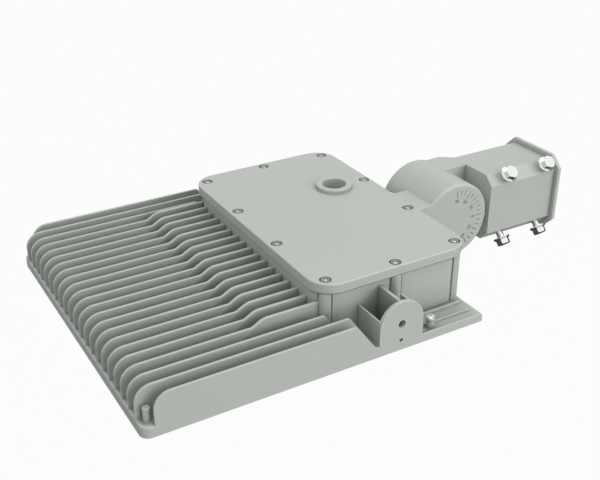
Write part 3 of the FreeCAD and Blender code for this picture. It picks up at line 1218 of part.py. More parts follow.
def make_pivot_washer():
    face = "Sizes.arm_far - Sizes.pivot_bolt_head - Sizes.pivot_washer_thickness"
    disc = rod("PivotWasherDisc", ("0", face, "0"), "Sizes.pivot_washer_radius",
               "Sizes.pivot_washer_thickness", "Y")
    hole = rod("PivotWasherHole", ("0", face, "0"), "Sizes.pivot_bolt_radius + Sizes.hole_clearance",
               "Sizes.pivot_washer_thickness", "Y")
    return seat(cut("pivot_washer", disc, hole), PIVOT)


# Light engine: boards, emitters, lens plates and their screws, in the recess


def module_places():
    """Middle of each light module across the head."""
    count = int(value("Sizes.module_count"))
    return [f"({index} - (Sizes.module_count - 1)/2)*{MODULE_PITCH}" for index in range(count)]


def lens_screw_places():
    """Screws round the rim of each lens plate, six to a plate."""
    along = f"{MODULE_LENGTH}/2 - Sizes.lens_rim"
    side = f"{MODULE_WIDTH}/2 - Sizes.lens_rim"
    places = []
    for middle in module_places():
        for sign in "-+":
            for step in (-1, 0, 1):
                places.append((f"{MODULE_MIDDLE} + {step}*({along} - Sizes.board_margin)",
                               f"{middle} {sign} ({side})"))
    return places


def board_screw_places():
    """Four screws to a board, each in the middle of four emitters."""
    places = []
    for middle in module_places():
        for sign in "-+":
            for step in (-1, 1):
                places.append((f"{MODULE_MIDDLE} + {step}*2*{CHIP_PITCH}",
                               f"{middle} {sign} {CHIP_SIDE_PITCH}/2"))
    return places


def chip_places():
    """Every emitter on every board."""
    places = []
    for middle in module_places():
        for row in range(int(value("Sizes.chip_rows"))):
            for column in range(int(value("Sizes.chip_columns"))):
                along = f"{MODULE_MIDDLE} + ({row} - (Sizes.chip_rows - 1)/2)*{CHIP_PITCH}"
                across = f"{middle} + ({column} - (Sizes.chip_columns - 1)/2)*{CHIP_SIDE_PITCH}"
                places.append((along, across))
    return places


def module_rectangle(middle, inset):
    """Outline of a module, drawn in by an inset."""
    half_length = f"({MODULE_LENGTH}/2 - ({inset}))"
    half_width = f"({MODULE_WIDTH}/2 - ({inset}))"
    return rectangle(f"{MODULE_MIDDLE} - {half_length}", f"{MODULE_MIDDLE} + {half_length}",
                     f"{middle} - {half_width}", f"{middle} + {half_width}")


def module_sheet(label, inset, level, thickness, holes, window=None):
    """Three flat sheets, one to a module, with holes and a window if asked."""
    sheets = []
    for index, middle in enumerate(module_places()):
        corners = module_rectangle(middle, inset)
        left, right, low, high = corners[0][0], corners[1][0], corners[0][1], corners[2][1]
        sheet = block(f"{label}Sheet{index}", (left, low, level), f"({right}) - ({left})",
                      f"({high}) - ({low})", thickness)
        tools = []
        if window:
            inner = module_rectangle(middle, window)
            left, right, low, high = inner[0][0], inner[1][0], inner[0][1], inner[2][1]
            tools.append(block(f"{label}Window{index}", (left, low, level), f"({right}) - ({left})",
                               f"({high}) - ({low})", thickness))
        share = len(holes)//len(module_places())
        for place in range(index*share, (index + 1)*share):
            across, up = holes[place]
            tools.append(rod(f"{label}Hole{place}", (across, up, level),
                             "Sizes.module_screw_radius + Sizes.hole_clearance", thickness))
        sheets.append(cut(f"{label}Cut{index}", sheet, fuse(f"{label}Tools{index}", tools)))
    return sheets


def make_boards():
    sheets = module_sheet("Board", "Sizes.board_margin + Sizes.lens_rim", BOARD_FACE,
                          "Sizes.board_thickness", board_screw_places())
    return group("led_boards", sheets, HEAD)


def make_chips():
    """Square emitters on the underside of the boards."""
    chips = []
    for index, (across, up) in enumerate(chip_places()):
        place = (f"{across} - Sizes.chip_size/2", f"{up} - Sizes.chip_size/2",
                 f"{BOARD_FACE} - Sizes.chip_height")
        chips.append(block(f"Chip{index}", place, "Sizes.chip_size", "Sizes.chip_size", "Sizes.chip_height"))
    return group("led_chips", chips, HEAD)


def make_lens_plates():
    """Clear plates with a raised rim and a dome below each emitter."""
    plates = module_sheet("LensPlate", "0", LENS_BOTTOM, "Sizes.lens_plate_thickness", lens_screw_places())
    rim_height = f"Sizes.recess_depth - Sizes.lens_seal_thickness - ({LENS_TOP})"
    rims = module_sheet("LensRim", "0", LENS_TOP, rim_height, lens_screw_places(), "2*Sizes.lens_rim")
    share = len(chip_places())//len(plates)
    whole = []
    for index, (plate, rim) in enumerate(zip(plates, rims)):
        domes = [dome(f"Dome{place}", chip_places()[place])
                 for place in range(index*share, (index + 1)*share)]
        whole.append(fuse(f"LensWhole{index}", [plate, rim] + domes))
    return group("lens_plates", whole, HEAD)


def dome(name, place):
    """A cap of a sphere that hangs below a lens plate."""
    across, up = place
    ball = "((Sizes.lens_radius^2 + Sizes.lens_rise^2)/(2*Sizes.lens_rise))"
    sizes = {"Radius": ball, "Angle1": f"asin(({ball} - Sizes.lens_rise)/{ball})", "Angle2": "90deg"}
    cap = bound("Sphere", name, sizes, (across, up, f"{LENS_BOTTOM} + {ball} - Sizes.lens_rise"))
    cap.Placement.Rotation = Rotation(Vector(1, 0, 0), 180)
    return cap


def make_lens_seals():
    level = "Sizes.recess_depth - Sizes.lens_seal_thickness"
    sheets = module_sheet("LensSeal", "0", level, "Sizes.lens_seal_thickness", lens_screw_places(),
                          "2*Sizes.lens_rim")
    return group("lens_seals", sheets, HEAD)


def headed_screws(label, places, head_level, head_height, head_radius, shank_radius, shank_length):
    """Screws that point up, their heads below a level."""
    screws = []
    for index, (across, up) in enumerate(places):
        head = rod(f"{label}Head{index}", (across, up, f"{head_level} - {head_height}"), head_radius,
                   head_height)
        shank = rod(f"{label}Shank{index}", (across, up, head_level), shank_radius, shank_length)
        screws.append(fuse(f"{label}{index}", [head, shank]))
    return screws


def make_lens_screws():
    length = f"Sizes.recess_depth - ({LENS_BOTTOM}) + Sizes.module_screw_bite"
    screws = headed_screws("LensScrew", lens_screw_places(), f"({LENS_BOTTOM})",
                           "Sizes.module_head_height", "Sizes.module_head_radius",
                           "Sizes.module_screw_radius", length)
    return group("lens_screws", screws, HEAD)


def make_board_screws():
    screws = headed_screws("BoardScrew", board_screw_places(), f"({BOARD_FACE})",
                           "Sizes.board_screw_head_height", "Sizes.module_head_radius",
                           "Sizes.module_screw_radius", "Sizes.board_thickness + Sizes.module_screw_bite")
    return group("board_screws", screws, HEAD)


# Inside the driver box


DRIVER_FRONT = f"({CAVITY_FRONT} + Sizes.driver_front_gap)"
DRIVER_REAR = f"({DRIVER_FRONT} + Sizes.driver_length)"
DRIVER_MIDDLE = f"({DRIVER_FRONT} + Sizes.driver_length/2)"
DRIVER_NEAR = f"(Sizes.driver_wall_gap - {CAVITY_HALF})"
SURGE_FRONT = f"({CAVITY_FRONT} + Sizes.surge_front_gap)"
SURGE_SIDE = f"({CAVITY_HALF} - Sizes.surge_wall_gap - Sizes.surge_width/2)"
DRIVER_FAR = f"({SURGE_SIDE} - Sizes.surge_width/2 - Sizes.driver_surge_gap)"
TERMINAL_FRONT = f"({DRIVER_REAR} + Sizes.terminal_gap)"
TERMINAL_SIDE = f"(Sizes.terminal_wall_gap + Sizes.terminal_width/2 - {CAVITY_HALF})"
PILLAR_TOP = "(Sizes.floor_thickness + Sizes.pillar_height)"


def driver_screw_places():
    """One screw in the middle of each driver foot."""
    return [(DRIVER_MIDDLE, f"{DRIVER_NEAR} - Sizes.foot_length/2"),
            (DRIVER_MIDDLE, f"{DRIVER_FAR} + Sizes.foot_length/2")]


def surge_screw_places():
    return [(f"{SURGE_FRONT} + Sizes.surge_length + Sizes.foot_length/2", SURGE_SIDE)]


def terminal_screw_places():
    return [(f"{TERMINAL_FRONT} + Sizes.terminal_length + Sizes.foot_length/2", TERMINAL_SIDE)]


def inner_screw_places():
    return driver_screw_places() + surge_screw_places() + terminal_screw_places()


def make_driver():
    """Driver case with rounded upright edges and a foot at each end."""
    body = new_body("led_driver", HEAD)
    case = rectangle(DRIVER_FRONT, DRIVER_REAR, DRIVER_NEAR, DRIVER_FAR, "Sizes.driver_edge_radius")
    pad(body, loop_sketch(body, "Case", case, level=PILLAR_TOP), "Sizes.driver_height")
    feet = rectangle(f"{DRIVER_MIDDLE} - Sizes.pillar_radius", f"{DRIVER_MIDDLE} + Sizes.pillar_radius",
                     f"{DRIVER_NEAR} - Sizes.foot_length", f"{DRIVER_FAR} + Sizes.foot_length")
    pad(body, loop_sketch(body, "Feet", feet, level=PILLAR_TOP), "Sizes.foot_thickness")
    holes = new_sketch(body, "FootHoles", level=f"{PILLAR_TOP} + Sizes.foot_thickness")
    for across, up in driver_screw_places():
        add_circle(holes, across, up, "Sizes.inner_screw_radius + Sizes.hole_clearance")
    pocket(body, holes, "Sizes.foot_thickness")
    return body


def small_unit(label, front, middle, length, width, height, screws):
    """A block on the box floor with one foot behind it on a pillar."""
    body = new_body(label, HEAD)
    low, high = f"{middle} - {width}/2", f"{middle} + {width}/2"
    case = rectangle(front, f"{front} + {length}", low, high, "Sizes.driver_edge_radius/2")
    pad(body, loop_sketch(body, f"{label}_case", case, level="Sizes.floor_thickness"), height)
    foot = rectangle(f"{front} + {length}/2", f"{front} + {length} + Sizes.foot_length",
                     f"{middle} - Sizes.pillar_radius", f"{middle} + Sizes.pillar_radius")
    pad(body, loop_sketch(body, f"{label}_foot", foot, level=PILLAR_TOP), "Sizes.foot_thickness")
    hole = new_sketch(body, f"{label}_hole", level=f"{PILLAR_TOP} + Sizes.foot_thickness")
    for across, up in screws:
        add_circle(hole, across, up, "Sizes.inner_screw_radius + Sizes.hole_clearance")
    pocket(body, hole, "Sizes.foot_thickness")
    return body


def make_surge_protector():
    return small_unit("surge_protector", SURGE_FRONT, SURGE_SIDE, "Sizes.surge_length",
                      "Sizes.surge_width", "Sizes.surge_height", surge_screw_places())


def make_terminal_block():
    """A block with a row of round screw wells in its top."""
    body = small_unit("terminal_block", TERMINAL_FRONT, TERMINAL_SIDE,
                      "Sizes.terminal_length", "Sizes.terminal_width", "Sizes.terminal_height",
                      terminal_screw_places())
    wells = new_sketch(body, "Wells", level="Sizes.floor_thickness + Sizes.terminal_height")
    for index in range(int(value("Sizes.terminal_ways"))):
        offset = f"({index} - (Sizes.terminal_ways - 1)/2)*Sizes.terminal_pitch"
        add_circle(wells, f"{TERMINAL_FRONT} + Sizes.terminal_length/2",
                   f"{TERMINAL_SIDE} + {offset}", "Sizes.terminal_well_radius")
    pocket(body, wells, "Sizes.terminal_well_depth")
    return body


def make_inner_screws():
    """Screws that hold the driver, the surge protector and the terminal block."""
    screws = []
    seat_level = f"({PILLAR_TOP} + Sizes.foot_thickness)"
    for index, (across, up) in enumerate(inner_screw_places()):
        head = rod(f"InnerHead{index}", (across, up, seat_level), "Sizes.inner_head_radius",
                   "Sizes.inner_head_height")
        shank = rod(f"InnerShank{index}", (across, up, f"{seat_level} - Sizes.inner_screw_length"),
                    "Sizes.inner_screw_radius", "Sizes.inner_screw_length")
        screws.append(fuse(f"InnerScrew{index}", [head, shank]))
    return group("inner_screws", screws, HEAD)


def make_lead_grommet():
    """Rubber grommet in the floor of the driver box, where the leads come up."""
    place = (f"{HEAD_X} + {LEAD_HOLE}", LEAD_HOLE_SIDE, HEAD_Z)
    body = new_body("lead_grommet", place)
    outer = "(Sizes.lead_hole_radius - Sizes.grommet_clearance)"
    level = "Sizes.floor_thickness"
    start = "Sizes.lead_groove_depth"
    tube = [(f"{outer} - Sizes.grommet_wall", start), (outer, start), (outer, level),
            (f"{outer} + Sizes.grommet_lip", level),
            (f"{outer} + Sizes.grommet_lip", f"{level} + Sizes.grommet_lip_thickness"),
            (f"{outer} - Sizes.grommet_wall", f"{level} + Sizes.grommet_lip_thickness")]
    turn(body, loop_sketch(body, "Section", tube, "XZ"), "Z_Axis")
    return body


def make_passage_grommet():
    """Rubber grommet where the wires leave the driver box for the knuckle."""
    place = (f"{HEAD_X} + {CAVITY_REAR}", NECK_MIDDLE, f"{HEAD_Z} + Sizes.pivot_height")
    body = new_body("passage_grommet", place)
    outer = "(Sizes.passage_radius - Sizes.grommet_clearance)"
    lip, thick = "Sizes.grommet_lip", "Sizes.grommet_lip_thickness"
    end = "(Sizes.box_wall + Sizes.pad_depth)"
    inner = f"{outer} - Sizes.grommet_wall"
    section = [(f"-{thick}", inner), (f"{end}", inner), (f"{end}", outer), ("0", outer),
               ("0", f"{outer} + {lip}"), (f"-{thick}", f"{outer} + {lip}")]
    turn(body, loop_sketch(body, "Section", section), "X_Axis")
    return body


def make_vent():
    """Breather with its head outside the rear wall and a nut inside."""
    across, up = "Sizes.vent_side", "Sizes.vent_height"
    head = rod("VentHead", ("Sizes.base_length", across, up), "Sizes.vent_head_radius",
               "Sizes.vent_head_depth", "X")
    inside = "(Sizes.vent_nut_depth + Sizes.vent_stem_past)"
    stem = rod("VentStem", (f"{CAVITY_REAR} - {inside}", across, up), "Sizes.vent_radius",
               f"Sizes.box_wall + {inside}", "X")
    return seat(fuse("breather_vent", [head, stem]), HEAD)


def make_vent_nut():
    across, up = "Sizes.vent_side", "Sizes.vent_height"
    place = (f"{CAVITY_REAR} - Sizes.vent_nut_depth", across, up)
    nut = hexagon_rod("VentNutOuter", place, "Sizes.vent_nut_flat", "Sizes.vent_nut_depth", "X")
    bore = "Sizes.vent_radius + Sizes.thread_clearance"
    hole = rod("VentNutHole", place, bore, "Sizes.vent_nut_depth", "X")
    return seat(cut("breather_nut", nut, hole), HEAD)


def make_everything():
    """Every piece, in the order in which the head is put together."""
    pieces = [
        make_housing(), make_gasket(), make_cover(), make_cover_screws(),
        make_port_plug(), make_port_seal(), make_port_screws(),
        make_ground_screw(), make_ground_washer(),
        make_knuckle_base(), make_knuckle_gasket(), make_knuckle_bolts(),
        make_slip_fitter(), make_clamp_bolts("upper_clamp_bolts", 1),
        make_clamp_bolts("lower_clamp_bolts", -1), make_pivot_bolt(), make_pivot_washer(),
        make_boards(), make_chips(), make_lens_plates(), make_lens_seals(),
        make_lens_screws(), make_board_screws(),
        make_driver(), make_surge_protector(), make_terminal_block(), make_inner_screws(),
        make_lead_grommet(), make_passage_grommet(), make_vent(), make_vent_nut(),
    ]
    doc.recompute()
    return pieces


def check(pieces):
    """Stop if anything failed, if a pocket cut nothing or if a shape is unsound."""
    for item in doc.Objects:
        if "Invalid" in item.State or "Error" in item.State:
            raise RuntimeError(f"{item.Label} failed: {item.State}")
        if item.TypeId in ("PartDesign::Pocket", "PartDesign::Groove"):
            if item.Shape.Volume >= item.BaseFeature.Shape.Volume - 0.001:
                raise RuntimeError(f"{item.Label} cuts nothing")
    for piece in pieces:
        if piece.Shape.isNull() or not piece.Shape.isValid():
            raise RuntimeError(f"{piece.Label} has no sound shape")


def export(pieces):
    os.makedirs("parts", exist_ok=True)
    for piece in pieces:
        piece.Shape.exportStep(f"parts/{piece.Label}.step")


PIECES = make_everything()
check(PIECES)
export(PIECES)
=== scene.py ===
# %% [markdown]
# # LED street light head
# The object is a die-cast light head: a heat sink with fins, a driver box with
# a bolted lid, and a knuckle that tilts on a fitter for a pole. The solids come
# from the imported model, which stays where it is. This file gives them their
# finishes, models the small hardware again with more detail, and lights it all.

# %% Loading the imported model
import json
import math

import bmesh
import bpy
import numpy as np
from mathutils import Matrix, Vector


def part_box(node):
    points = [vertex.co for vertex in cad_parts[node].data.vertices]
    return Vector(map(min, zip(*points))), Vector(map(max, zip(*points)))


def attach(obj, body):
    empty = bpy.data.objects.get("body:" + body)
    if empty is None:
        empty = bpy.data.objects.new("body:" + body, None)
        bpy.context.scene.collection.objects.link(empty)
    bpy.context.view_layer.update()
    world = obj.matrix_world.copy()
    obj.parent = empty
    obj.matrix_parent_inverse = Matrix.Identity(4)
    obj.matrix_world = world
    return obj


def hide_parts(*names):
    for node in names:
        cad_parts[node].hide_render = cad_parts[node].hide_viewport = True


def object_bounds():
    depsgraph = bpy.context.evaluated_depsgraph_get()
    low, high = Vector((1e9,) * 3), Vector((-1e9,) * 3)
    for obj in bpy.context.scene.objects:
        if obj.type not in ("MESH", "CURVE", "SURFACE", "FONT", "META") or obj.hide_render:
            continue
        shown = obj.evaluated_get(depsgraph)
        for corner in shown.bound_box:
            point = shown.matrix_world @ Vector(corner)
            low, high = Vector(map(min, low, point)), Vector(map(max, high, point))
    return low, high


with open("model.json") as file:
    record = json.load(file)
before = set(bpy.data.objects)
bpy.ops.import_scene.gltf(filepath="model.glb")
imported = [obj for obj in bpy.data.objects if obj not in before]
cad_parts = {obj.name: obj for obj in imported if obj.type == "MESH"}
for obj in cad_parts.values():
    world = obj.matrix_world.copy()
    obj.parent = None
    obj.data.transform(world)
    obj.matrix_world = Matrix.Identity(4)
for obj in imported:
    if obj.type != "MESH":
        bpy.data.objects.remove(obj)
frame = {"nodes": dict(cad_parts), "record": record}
cad_low, cad_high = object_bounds()
NODES = frame["nodes"]
MM = 0.001
print("nodes", len(NODES), "box", [round(v, 4) for v in cad_high - cad_low])

# %% [markdown]
# ## Camera
# The photograph looks down on the front corner of the head. Straight edges of
# the casting, followed in the photograph, gave the direction and the distance,
# so the camera here only repeats those numbers.

# %% The camera
TARGET = Vector((-0.2755, 0.0634, -0.0343))
AZIMUTH, ELEVATION, DISTANCE = math.radians(-30.35), math.radians(28.01), 1.0262
away = Vector((math.sin(AZIMUTH)*math.cos(ELEVATION), -math.cos(AZIMUTH)*math.cos(ELEVATION),
               math.sin(ELEVATION)))
camera_data = bpy.data.cameras.new("camera")
camera_data.lens = 55.7
camera_data.sensor_width = 36
camera = bpy.data.objects.new("camera", camera_data)
camera.location = TARGET + away*DISTANCE
camera.rotation_mode = "QUATERNION"
camera.rotation_quaternion = away.to_track_quat("Z", "Y")
bpy.context.scene.collection.objects.link(camera)
bpy.context.scene.camera = camera
print("camera at", [round(v, 4) for v in camera.location])

# %% [markdown]
# ## A small language for finishes
# A finish is a chain of shader nodes, and chains read better as sums. `Field`
# wraps a socket, so `1 - mask` or `grain*0.1 + 0.4` adds the Math nodes by
# itself. `Finish` makes any other node with one method, which sets the node's
# settings first and then its sockets.

# %% Fields and finishes


class Field:
    """A shader socket that takes part in Python arithmetic."""

    def __init__(self, graph, socket):
        self.graph = graph
        self.socket = socket

    def maths(self, operation, first, second=0.0):
        return self.graph.node("ShaderNodeMath", {"operation": operation}, {0: first, 1: second})

    def __add__(self, other):
        return self.maths("ADD", self, other)

    def __radd__(self, other):
        return self.maths("ADD", other, self)

    def __sub__(self, other):
        return self.maths("SUBTRACT", self, other)

    def __rsub__(self, other):
        return self.maths("SUBTRACT", other, self)

    def __mul__(self, other):
        return self.maths("MULTIPLY", self, other)

    def __rmul__(self, other):
        return self.maths("MULTIPLY", other, self)

    def clipped(self):
        return self.graph.node("ShaderNodeClamp", None, {0: self})


class Graph:
    """A node tree whose nodes are added one call at a time."""

    def __init__(self, owner):
        owner.use_nodes = True
        self.tree = owner.node_tree

    def node(self, kind, settings=None, inputs=None, output=0):
        made = self.tree.nodes.new(kind)
        for name, setting in (settings or {}).items():
            setattr(made, name, setting)
        for socket, given in (inputs or {}).items():
            self.join(made.inputs[socket], given)
        return Field(self, made.outputs[output])

    def join(self, socket, given):
        if isinstance(given, Field):
            self.tree.links.new(given.socket, socket)
        else:
            socket.default_value = given

    def white_rays(self, share):
        """This share for rays of the camera, reflections and glass, and 0 for others."""
        kinds = [self.node("ShaderNodeLightPath", output=f"Is {kind} Ray")
                 for kind in ("Camera", "Glossy", "Transmission")]
        return ((kinds[0] + kinds[1] + kinds[2])*share).clipped()


class Finish(Graph):
    """A material: its colour, its roughness and the nodes that vary them."""

    def __init__(self, name, colour, roughness, **sockets):
        self.material = bpy.data.materials.new(name)
        super().__init__(self.material)
        self.shader = self.tree.nodes["Principled BSDF"]
        self.shader.inputs["Base Color"].default_value = (*colour, 1)
        self.shader.inputs["Roughness"].default_value = roughness
        for socket, number in sockets.items():
            self.shader.inputs[socket.replace("_", " ")].default_value = number

    def feed(self, socket, field):
        self.join(self.shader.inputs[socket], field)

    def place(self):
        return self.node("ShaderNodeTexCoord", output="Object")

    def noise(self, size, detail=3.0, stretch=(1, 1, 1)):
        """Cloudy pattern from 0 to 1, with features of about this size in metres."""
        scaled = self.node("ShaderNodeMapping", None,
                           {"Vector": self.place(), "Scale": tuple(part/size for part in stretch)})
        return self.node("ShaderNodeTexNoise", None, {"Vector": scaled, "Scale": 1.0, "Detail": detail})

    def blend(self, first, second, share):
        """One colour turning into another."""
        return self.node("ShaderNodeMix", {"data_type": "RGBA"}, {0: share, 6: first, 7: second}, 2)

    def rounded(self, radius):
        """Normals as if each sharp edge had a small radius."""
        return self.node("ShaderNodeBevel", {"samples": 6}, {"Radius": radius})

    def edges(self, width):
        """Above 0 along outer edges, where the inside of the solid is thin."""
        settings = {"samples": 6, "inside": True, "only_local": True}
        open_share = self.node("ShaderNodeAmbientOcclusion", settings, {"Distance": width}, "AO")
        return 1 - open_share

    def corners(self, width):
        """Above 0 in inner corners and grooves, where painted shade goes."""
        settings = {"samples": 6, "only_local": True}
        open_share = self.node("ShaderNodeAmbientOcclusion", settings, {"Distance": width}, "AO")
        return 1 - open_share

    def facing(self, axis):
        """1 on faces square to this axis of the piece, 0 on faces along it."""
        normal = self.node("ShaderNodeTexCoord", output="Normal")
        part = self.node("ShaderNodeSeparateXYZ", None, {0: normal}, axis)
        return part.maths("ABSOLUTE", part)

    def beyond(self, axis, distance):
        """1 further than this from the piece's origin along an axis, 0 nearer."""
        part = self.node("ShaderNodeSeparateXYZ", None, {0: self.place()}, axis)
        return part.maths("GREATER_THAN", part.maths("ABSOLUTE", part), distance)

    def relief(self, height, strength, depth, normal=None):
        """Fine bumps, on top of other normals if they are given."""
        inputs = {"Strength": strength, "Distance": depth, "Height": height}
        if normal is not None:
            inputs["Normal"] = normal
        self.feed("Normal", self.node("ShaderNodeBump", None, inputs))


FINISHES = {}


def shade(colour, factor):
    """A colour made lighter or darker."""
    return (*(min(1.0, part*factor) for part in colour[:3]), 1)


# %% [markdown]
# ## Powder coat on the castings
# The castings are sprayed with a pale, slightly green grey powder that is baked
# on. It has a faint cloudiness over a hand's width and the fine orange peel of
# the coat. Painted highlights lighten the outer edges and the rims, and painted
# shade darkens the inner corners, the deepest gaps and the foot of each wall.
# Ambient occlusion finds them all: looked at from inside the solid it marks the
# outer edges and the thin fins, which get no painted rim highlight and less of
# the deep painted shade, and from outside the corners. The deepest gaps get
# painted shade, but not the walls that face along the head between the sides of
# the box, because the gaps are open to them. A bevelled normal gives the edges
# the radius of a casting.

# %% Paint
PAINT = (0.500, 0.530, 0.490)
CREST, RIM, THIN_WALL = 0.0009, 0.0016, 0.0032
# reaches of the painted shade in corners and in the deepest gaps
CORNER_SHADE_REACH, SHADE_REACH = 0.0048, 0.035
BOX_SIDE = 0.128
CASTING_EDGE = 0.0010


def make_paint():
    finish = Finish("casting_paint", PAINT, 0.42)
    cloud = finish.noise(0.09, 4.0)
    peel = finish.noise(0.0016, 2.0)
    # painted highlight along every outer edge
    painted_crest_highlight = (finish.edges(CREST)*4.0 - 0.3).clipped()
    # painted shade in the inner corners and grooves
    painted_corner_shade = (finish.corners(CORNER_SHADE_REACH)*1.9 - 0.2).clipped()
    # thin marks the fins, which get no painted rim highlight and less painted shade
    thin = (finish.edges(THIN_WALL)*2.0).clipped()
    # painted highlight along the rims of thick parts, none on the thin fins
    painted_rim_highlight = (finish.edges(RIM)*4.0 - 0.2).clipped()*(1 - thin)
    open_walls = finish.facing("X")*(1 - finish.beyond("Y", BOX_SIDE))
    # painted shade in the deepest gaps and at the foot of each wall, not on walls open to the gaps
    deep = (finish.corners(SHADE_REACH)*2.2 - 0.25).clipped()*(1 - thin*0.7)*(1 - open_walls)
    body = finish.blend(shade(PAINT, 0.975), shade(PAINT, 1.02), cloud)
    shaded = finish.blend(body, shade(PAINT, 0.55), deep*0.98)
    corner_shaded = finish.blend(shaded, shade(PAINT, 0.45), painted_corner_shade*0.6)
    # the painted highlights are laid on last
    finish.feed("Base Color", finish.blend(corner_shaded, shade(PAINT, 1.4), painted_crest_highlight*0.55 + painted_rim_highlight*0.7))
    finish.feed("Roughness", 0.36 + peel*0.12 + cloud*0.04)
    finish.relief(peel, 0.12, 0.0001, finish.rounded(CASTING_EDGE))
    return finish


FINISHES["casting_paint"] = make_paint()
print("paint", PAINT)

# %% [markdown]
# ## Bright and dull metal
# Bolts are zinc or nickel plated and bright. Most screws are plain stainless
# steel, which is duller and shows the marks of the tool. The grounding screw is
# dull zinc, which scatters the light, so it is only partly a metal shader. A
# noise, stretched where a tool leaves lines, varies the roughness, and painted
# shade darkens the inner corners.

# %% Metals
METAL_SHADE_REACH, METAL_EDGE = 0.0025, 0.0003


def make_metal(name, colour, low, high, grain, stretch=(1, 1, 1), corner_shade_strength=0.8, metal=1.0):
    finish = Finish(name, colour, low, Metallic=metal)
    lines = finish.noise(grain, 3.0, stretch)
    stain = finish.noise(0.02, 3.0)
    # painted shade in the inner corners, such as where the flange meets the head
    metal_corner_shade = (finish.corners(METAL_SHADE_REACH)*1.4 - 0.15).clipped()
    clean = finish.blend(shade(colour, 0.9), shade(colour, 1.05), stain)
    finish.feed("Base Color", finish.blend(clean, shade(colour, 0.3), metal_corner_shade*corner_shade_strength))
    finish.feed("Roughness", low + lines*(high - low))
    finish.relief(lines, 0.05, 0.00005, finish.rounded(METAL_EDGE))
    return finish


for name, colour, low, high, grain, more in (
        ("bright_bolt", (0.88, 0.885, 0.89), 0.06, 0.12, 0.003, {"corner_shade_strength": 0.9}),
        ("dull_zinc", (0.93, 0.93, 0.93), 0.3, 0.4, 0.002, {"corner_shade_strength": 0.9, "metal": 0.35}),
        ("stainless", (0.62, 0.62, 0.60), 0.24, 0.40, 0.0012, {"stretch": (1, 1, 6)}),
        ("cover_screw_steel", (0.26, 0.27, 0.26), 0.4, 0.55, 0.0012, {}),
        ("driver_case", (0.52, 0.53, 0.54), 0.35, 0.5, 0.002, {"stretch": (1, 8, 1)})):
    FINISHES[name] = make_metal(name, colour, low, high, grain, **more)
print("metals", len(FINISHES) - 1)

# %% [markdown]
# ## Rubber, plastic and the light engine
# Gaskets are matt rubber with a dusty bloom. Moulded parts get a fine spark
# eroded grain, and the emitters, which are packages of moulded plastic with a
# yellow phosphor, are made with the same function. The boards are white solder
# mask over aluminium, with the pale outline of their copper, and the lenses are
# clear moulded plastic.

# %% Rubber and plastic


def make_moulded(name, colour, roughness, grain, bloom):
    finish = Finish(name, colour, roughness)
    dust = finish.noise(0.012, 4.0)
    texture = finish.noise(grain, 2.0)
    finish.feed("Base Color", finish.blend(colour + (1,), shade(colour, bloom), dust))
    finish.feed("Roughness", roughness + texture*0.1)
    finish.relief(texture, 0.15, 0.0001, finish.rounded(0.0003))
    return finish


for name, colour, roughness, grain, bloom in (
        ("gasket_rubber", (0.08, 0.08, 0.08), 0.7, 0.0008, 1.5),
        ("seal_grey", (0.42, 0.43, 0.43), 0.55, 0.0010, 1.1),
        ("port_plug_plastic", (0.27, 0.28, 0.27), 0.5, 0.0006, 1.1),
        ("surge_case", (0.03, 0.03, 0.035), 0.45, 0.0006, 1.5),
        ("terminal_plastic", (0.74, 0.74, 0.70), 0.4, 0.0006, 1.03),
        ("vent_plastic", (0.03, 0.03, 0.03), 0.5, 0.0006, 1.6),
        ("dial_paint", (0.10, 0.105, 0.10), 0.6, 0.0006, 1.15),
        ("emitter_yellow", (0.75, 0.55, 0.08), 0.25, 0.0005, 1.08),
        ("emitter_case", (0.80, 0.80, 0.78), 0.35, 0.0005, 1.02)):
    FINISHES[name] = make_moulded(name, colour, roughness, grain, bloom)
print("finishes so far", len(FINISHES))

# %% Boards and lenses


def make_board():
    """White solder mask with slightly raised tracks."""
    white = (0.80, 0.81, 0.80)
    finish = Finish("board_white", white, 0.35)
    tracks = finish.node("ShaderNodeTexBrick", None,
                         {"Vector": finish.place(), "Color1": (1, 1, 1, 1), "Color2": (1, 1, 1, 1),
                          "Mortar": (0, 0, 0, 1), "Scale": 1.0, "Mortar Size": 0.0006,
                          "Brick Width": 0.036, "Row Height": 0.0145})
    finish.feed("Base Color", finish.blend(shade(white, 0.88), shade(white, 1.0), tracks))
    finish.feed("Roughness", 0.3 + finish.noise(0.002)*0.12)
    finish.relief(tracks, 0.3, 0.00005)
    return finish


def make_lens():
    """Clear plastic that lets most of the light straight through."""
    finish = Finish("lens_clear", (0.93, 0.95, 0.96), 0.05, IOR=1.49, Alpha=0.15)
    haze = finish.noise(0.08, 2.0)
    finish.feed("Roughness", 0.04 + haze*0.06)
    finish.feed("Alpha", 0.15 + haze*0.06)
    return finish


FINISHES["board_white"] = make_board()
FINISHES["lens_clear"] = make_lens()
print("finishes", len(FINISHES))

# %% [markdown]
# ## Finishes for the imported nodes
# The record says which finish each node has, so one loop dresses them all.

# %% Dressing the nodes
SLOT_OF = {part["node"]: part["material_slot"] for part in frame["record"]["subparts"]}
for name, node in NODES.items():
    node.data.materials.clear()
    node.data.materials.append(FINISHES[SLOT_OF[name]].material)
print("dressed", len(NODES), "nodes with", len(set(SLOT_OF.values())), "finishes")

# %% [markdown]
# ## Shapes in code
# Small hardware is turned on a lathe, so most of it is an outline spun round an
# axis. `Shape` collects points and faces along +Z, and `aimed` turns the whole
# shape to the direction in which the real piece points. Its sizes are written
# in millimetres, and become metres when the piece is made.

# %% Shapes
RING = 48
SMOOTH_BELOW = math.radians(35)


